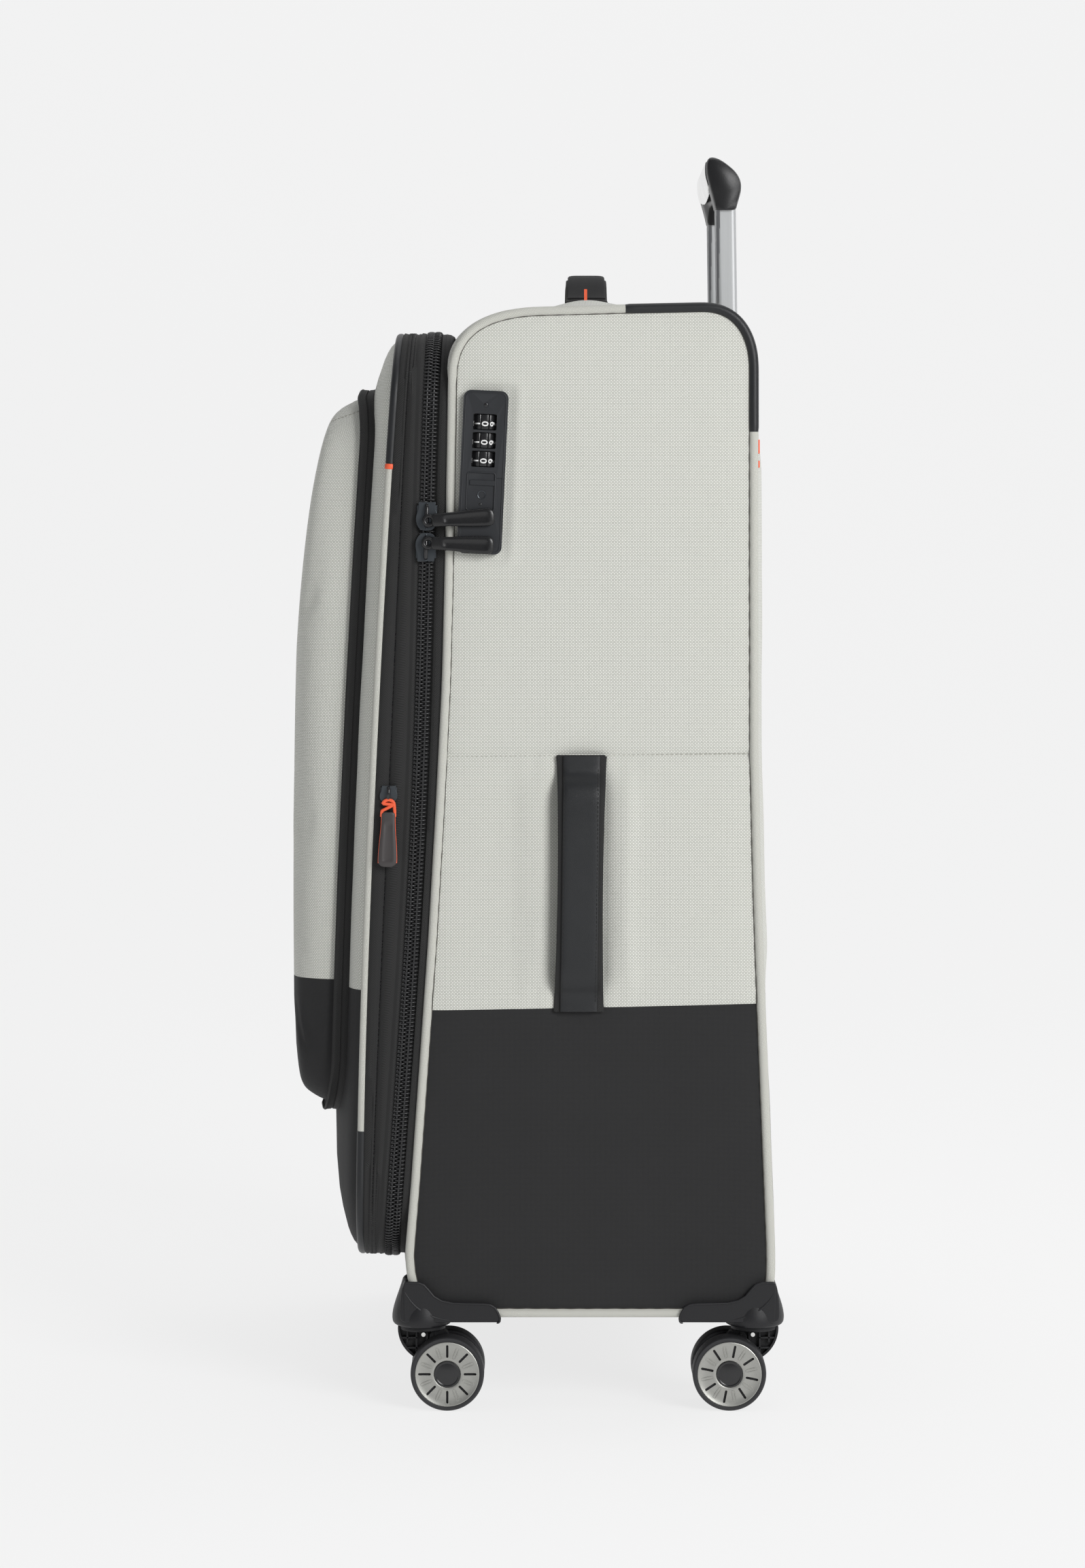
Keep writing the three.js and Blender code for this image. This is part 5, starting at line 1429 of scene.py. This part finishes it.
gripOutline = np.array([(-7.8, 0), (-8.6, 5), (-10, 11), (-11.6, 17), (-13, 22.4), (-13.9, 27), (-14.1, 31),
                        (-14.0, 35), (-13.2, 38.0), (-11.6, 39.7), (-9.4, 40.0), (-5, 38.7),
                        (-0.8, 36.2), (3, 33.2), (6.4, 30.2), (9, 27), (11, 23.2), (11.9, 19), (11.5, 14),
                        (10.2, 9.5), (8.8, 5), (7.8, 0)])
gripLoop = resampled(np.vstack([gripOutline, [(3.0, -0.2), (-3.0, -0.2)]]), 96, True)
for _ in range(3):
    gripLoop = (np.roll(gripLoop, 1, 0) + 2 * gripLoop + np.roll(gripLoop, -1, 0)) / 4
ys = np.r_[-90 + 5 * (1 - np.cos(np.linspace(0.25, math.pi / 2, 8))), np.linspace(-84, 84, 85),
           85 + 5 * np.sin(np.linspace(0, math.pi / 2 - 0.25, 8))]
rings = []
for y in ys:
    over = max(0, abs(y) - 84.5) / 5.6
    s = 0.82 + 0.18 * math.sqrt(max(0, 1 - over ** 2))
    lift = 12.5 * (1 - float(smoothStep(abs(y), 46, 62)))
    ring = []
    for a, b in gripLoop:
        a, b = a * s, 20 + (b - 20) * s if b > 4 else b * s + 0.5
        b += lift * max(0, 1 - b / 40.2) ** 1.3
        thin = 1 - 0.16 * (1 - float(smoothStep(abs(y), 46, 62))) * float(1 - smoothStep(b, 10, 26))
        ring.append(onTrolley(a * thin, y, trolley["base"] + b))
    rings.append(ring)
piece("gripBody", *loft(rings), gripPlastic, "pull_handle", "handle_grip", "grip_plastic", sharp=55)
front = [k for k, (a, b) in enumerate(gripLoop) if a < -9.2 and 12 < b < 37.5]
frontLine = sorted([tuple(gripLoop[k]) for k in front], key=lambda p: p[1])
frontLine = resampled(frontLine, 22)
patch = []
for y in np.linspace(-80, 80, 60):
    lowCut = 13.5 + 6.0 * (abs(y) / 80) ** 2
    patch.append([onTrolley(a - 0.25 - 0.2 * math.sin(math.pi * k / 21), y, trolley["base"] + max(b, lowCut))
                  for k, (a, b) in enumerate(frontLine)])
insert = piece("gripInsert", np.array(patch).reshape(-1, 3), gridFaces(60, 22), bright, "pull_handle",
               finish="aluminium")
modifier(insert, "SOLIDIFY", thickness=0.0008, offset=0)
buttonRings = [[onTrolley(-4 + a * k - 0.25 * (h - 106), b * k, h - 0.42 * (a * k)) for a,
                b in roundRect(4.2, 16, 3.6, 8)]
               for h, k in ((107, 1), (112.2, 1), (112.9, 0.96), (113.3, 0.86), (113.4, 0.6))]
piece("gripButton", *loft(buttonRings), pullRubber, "handle_button", "handle_button", "pull_rubber")
fromNode("handleTray", "handle_tray", plastic, "case", 0.7, "black_plastic")
for word in ("lock", "hinge"):
    outer = bpy.data.objects["handle_tube_outer_" + word]
    outer.data.materials.clear()
    outer.data.materials.append(anodised)
for place, *_ in places:
    axle = bpy.data.objects["axle_" + place]
    axle.data.materials.clear()
    axle.data.materials.append(gunmetal)
print("telescopic handle made")


# carry handles

topGrip = {"x": 35.0, "width": 31.0, "pad": 28.0, "half": 105.0, "foot": 790.6, "top": 813.7}


def strap(name, centre, widthAt, thickAt, stands, paint, sideways, outward):
    # a flat band along a path: sideways is its width direction, outward its face direction at each point
    t = np.arange(40) * 2 * math.pi / 40
    centre = np.asarray(centre, float)
    rings, cloth, run = [], [], 0.0
    for k, c in enumerate(centre):
        run += np.linalg.norm(c - centre[k - 1]) if k else 0.0
        w, th = widthAt(k / (len(centre) - 1)), thickAt(k / (len(centre) - 1))
        a = w / 2 * np.sign(np.cos(t)) * np.abs(np.cos(t)) ** 0.35
        b = th / 2 * np.sign(np.sin(t)) * np.abs(np.sin(t)) ** 0.6
        rings.append(c + a[:, None] * sideways + b[:, None] * outward[k])
        cloth += [(p, run) for p in a]
    return piece(name, *loft(rings), paint, "case", stands, "webbing", cloth=cloth, sharp=60)


def archPath(half, low, high, foot, run, count=70):  # (along, height) of an arched handle
    pts = [(-half, low), (-half + foot, low + 0.3)]
    pts += [tuple(p) for p in bezier((-half + foot, low + 0.3), (-half + foot + run * 0.55, low + 1.5),
                                     (-half + foot + run * 0.45, high - 0.5),
                                     (-half + foot + run * 1.25, high), 14)]
    pts += [(k * (half - foot - run * 1.25), high + 0.5 * (1 - k * k)) for k in np.linspace(-1, 1, 15)[1:-1]]
    pts += [(-a, b) for a, b in pts[:16][::-1]]
    return resampled(pts, count)


def bandOut(path3):  # unit normals of a path that lies in a plane through z or y
    along = np.gradient(path3, axis=0)
    return along / np.linalg.norm(along, axis=1)[:, None]


path = archPath(topGrip["half"], topGrip["foot"], topGrip["top"] - 4.2, 10, 40)
line = np.stack([np.full(len(path), topGrip["x"]), path[:, 0], path[:, 1]], -1)
along = bandOut(line)
out = np.cross(along, (-1, 0, 0))
out *= np.sign(out[:, 2:3] + 1e-9)
middleShare = lambda s: math.sin(math.pi * min(1, max(0, s)))
strap("topHandleBand", line - out * 0.6, lambda s: topGrip["width"] - 1.2 * middleShare(s), lambda s: 3.0,
      "top_handle", tapeCloth, np.array([1.0, 0, 0]), out)
strap("topHandlePad", (line + out * 1.4)[6:-6], lambda s: topGrip["pad"] - 1.0 * middleShare(s),
      lambda s: 1.2 + 4.2 * min(1, 6 * s, 6 * (1 - s)), (), charcoal, np.array([1.0, 0, 0]), out[6:-6])
tab = prism(roundRect(1.1, 4.4, 0.4, 3, (34.2, 795.4)), 105.2, 106.4, lambda a, b, w: (a, -w, b))
piece("topHandleTab", *tab, orange, "case", finish="webbing")

sideGrip = {"x": sideLook["handleX"], "width": 35.6, "strap": 26.2, "middle": 372.0, "half": 90.0,
            "proud": 16.0}
path = archPath(sideGrip["half"], 2.2, sideGrip["proud"] - 3.6, 8, 20, 90)
line = np.stack([sideGrip["x"] - 1.1 * (-path[:, 0] / 90), -(case["half"] + path[:, 1] - 1.0),
                 sideGrip["middle"] + path[:, 0]], -1)
along = bandOut(line)
out = np.cross(along, (1, 0, 0))
out *= -np.sign(out[:, 1:2] - 1e-9)
across = np.array([1.0, 0, 0])
strap("sideHandleBand", line, lambda s: sideGrip["width"] - 3.6 * middleShare(s) ** 0.8, lambda s: 2.6,
      "side_handle", tapeCloth, across, out)
strap("sideHandleStrap", line + out * 1.9, lambda s: sideGrip["strap"] - 0.5 * middleShare(s), lambda s: 2.6,
      (), hide, across, out)
for shift in (-1, 1):
    edge = line + out * 3.0 + np.array([shift * 11.9, 0, 0])
    dashes(edge[3:-3], 2.2, 0.9, 0.24, out[45], "sideHandleStitch" + ("Left" if shift < 0 else "Right"),
           darkThread, "case", 0.05)
for z, word, shift in ((sideGrip["middle"] + 88.5, "Top", 0.6), (sideGrip["middle"] - 88.5, "Low", -0.6)):
    cap = prism(roundRect(17.4, 2.2, 0.8, 3, (sideGrip["x"] + shift, z)), case["half"] - 1.5,
                case["half"] + 2.0, lambda a, b, w: (a, -w, b))
    rounded(piece("sideHandleEnd" + word, *cap, tapeCloth, "case", finish="webbing"), 0.5, 2)
print("handles made")


# inside: crossed packing straps on the lining

packing = {"width": 26.0, "thick": 1.4, "x": 120.0}
for side in (-1, 1):
    pts = np.stack([np.full(40, packing["x"]), side * np.linspace(-150, 150, 40), np.linspace(200, 640, 40)],
                   -1)
    pts[:, 0] += 22 * np.abs(np.linspace(-1, 1, 40)) ** 4 + (2.2 if side > 0 else 0)
    a = packing["width"] / 2 * np.array([0.0, 0.826, -0.563 * side])
    n = np.array([packing["thick"] / 2, 0, 0])
    rings = [[p - a - n, p + a - n, p + a + n, p - a + n] for p in pts]
    piece("packingStrap" + ("A" if side < 0 else "B"), *loft(rings), tapeCloth, "case", finish="webbing")
buckle = prism(roundRect(16, 19, 4, 5), 0, 5.5, lambda a, b, w: (114.6 - w, a, 420 + b))
made = piece("packingBuckle", *buckle, plastic, "case", finish="black_plastic")
rounded(made, 1.2, 3)


# floor, light and camera

paper = {"glow": 0.775, "half": 8.0, "bendFrom": 2.2, "bend": 1.6}


def wall():
    start, bend = paper["bendFrom"], paper["bend"]
    curve = [(start + bend * math.sin(k), bend * (1 - math.cos(k))) for k in np.linspace(0.05, math.pi / 2, 24)]
    profile = [(-6.0, 0.0), (start, 0.0)] + curve + [(start + bend, 6.0)]
    points = [(x, y, z + floorZ) for y, z in profile for x in (-paper["half"], paper["half"])]
    mesh = bpy.data.meshes.new("studioFloor")
    mesh.from_pydata(points, [], gridFaces(len(profile), 2))
    mesh.polygons.foreach_set("use_smooth", [True] * len(mesh.polygons))
    made, tree, shader = newPaint("paperWhite", Roughness=1.0, Specular_IOR_Level=0.0,
                                  Emission_Color=(1, 1, 1, 1), Emission_Strength=paper["glow"])
    faint = noiseOf(tree, 3.0, 2.0)
    feed(tree, shader, Base_Color=mixed(tree, faint * 0.4, (0.16, 0.16, 0.16, 1), (0.155, 0.155, 0.155, 1)))
    mesh.materials.append(made)
    sheet = bpy.data.objects.new("studioFloor", mesh)
    bpy.context.collection.objects.link(sheet)


wall()


lights = {  # name: place, aim, size, watts
    "keyLight": ((2.3, -3.3, 1.9), (0, 0, 0.45), (1.8, 2.0), 128),
    "fillLight": ((-3.2, -1.6, 1.6), (0, 0, 0.45), (2.0, 2.2), 2),
    "topLight": ((0.1, 0.3, 3.4), (0, 0, 0.4), (2.6, 2.6), 26),
    "rearLight": ((2.4, 1.6, 1.6), (0, 0.2, 0.5), (1.4, 1.8), 10)}
for name, (place, aim, size, watts) in lights.items():
    light = bpy.data.lights.new(name, "AREA")
    light.shape, light.size, light.size_y, light.energy = "RECTANGLE", size[0], size[1], watts
    made = bpy.data.objects.new(name, light)
    bpy.context.collection.objects.link(made)
    made.location = place
    made.rotation_euler = (Vector(aim) - Vector(place)).to_track_quat("-Z", "Y").to_euler()

world = bpy.data.worlds.new("studio")
world.use_nodes = True
world.node_tree.nodes["Background"].inputs[0].default_value = (0.95, 0.97, 1.0, 1)
world.node_tree.nodes["Background"].inputs[1].default_value = 0.2
bpy.context.scene.world = world
bpy.context.scene.view_settings.view_transform = "Standard"

view = {"place": (0.0024, -3.2325, 0.612), "lens": 97.5, "shift": -0.1532}
lens = bpy.data.cameras.new("camera")
lens.lens, lens.sensor_width, lens.shift_y, lens.clip_end = view["lens"], 36.0, view["shift"], 50.0
shot = bpy.data.objects.new("camera", lens)
bpy.context.collection.objects.link(shot)
shot.location = view["place"]
shot.rotation_euler = (math.pi / 2, 0, 0)
bpy.context.scene.camera = shot

print("scene ready")
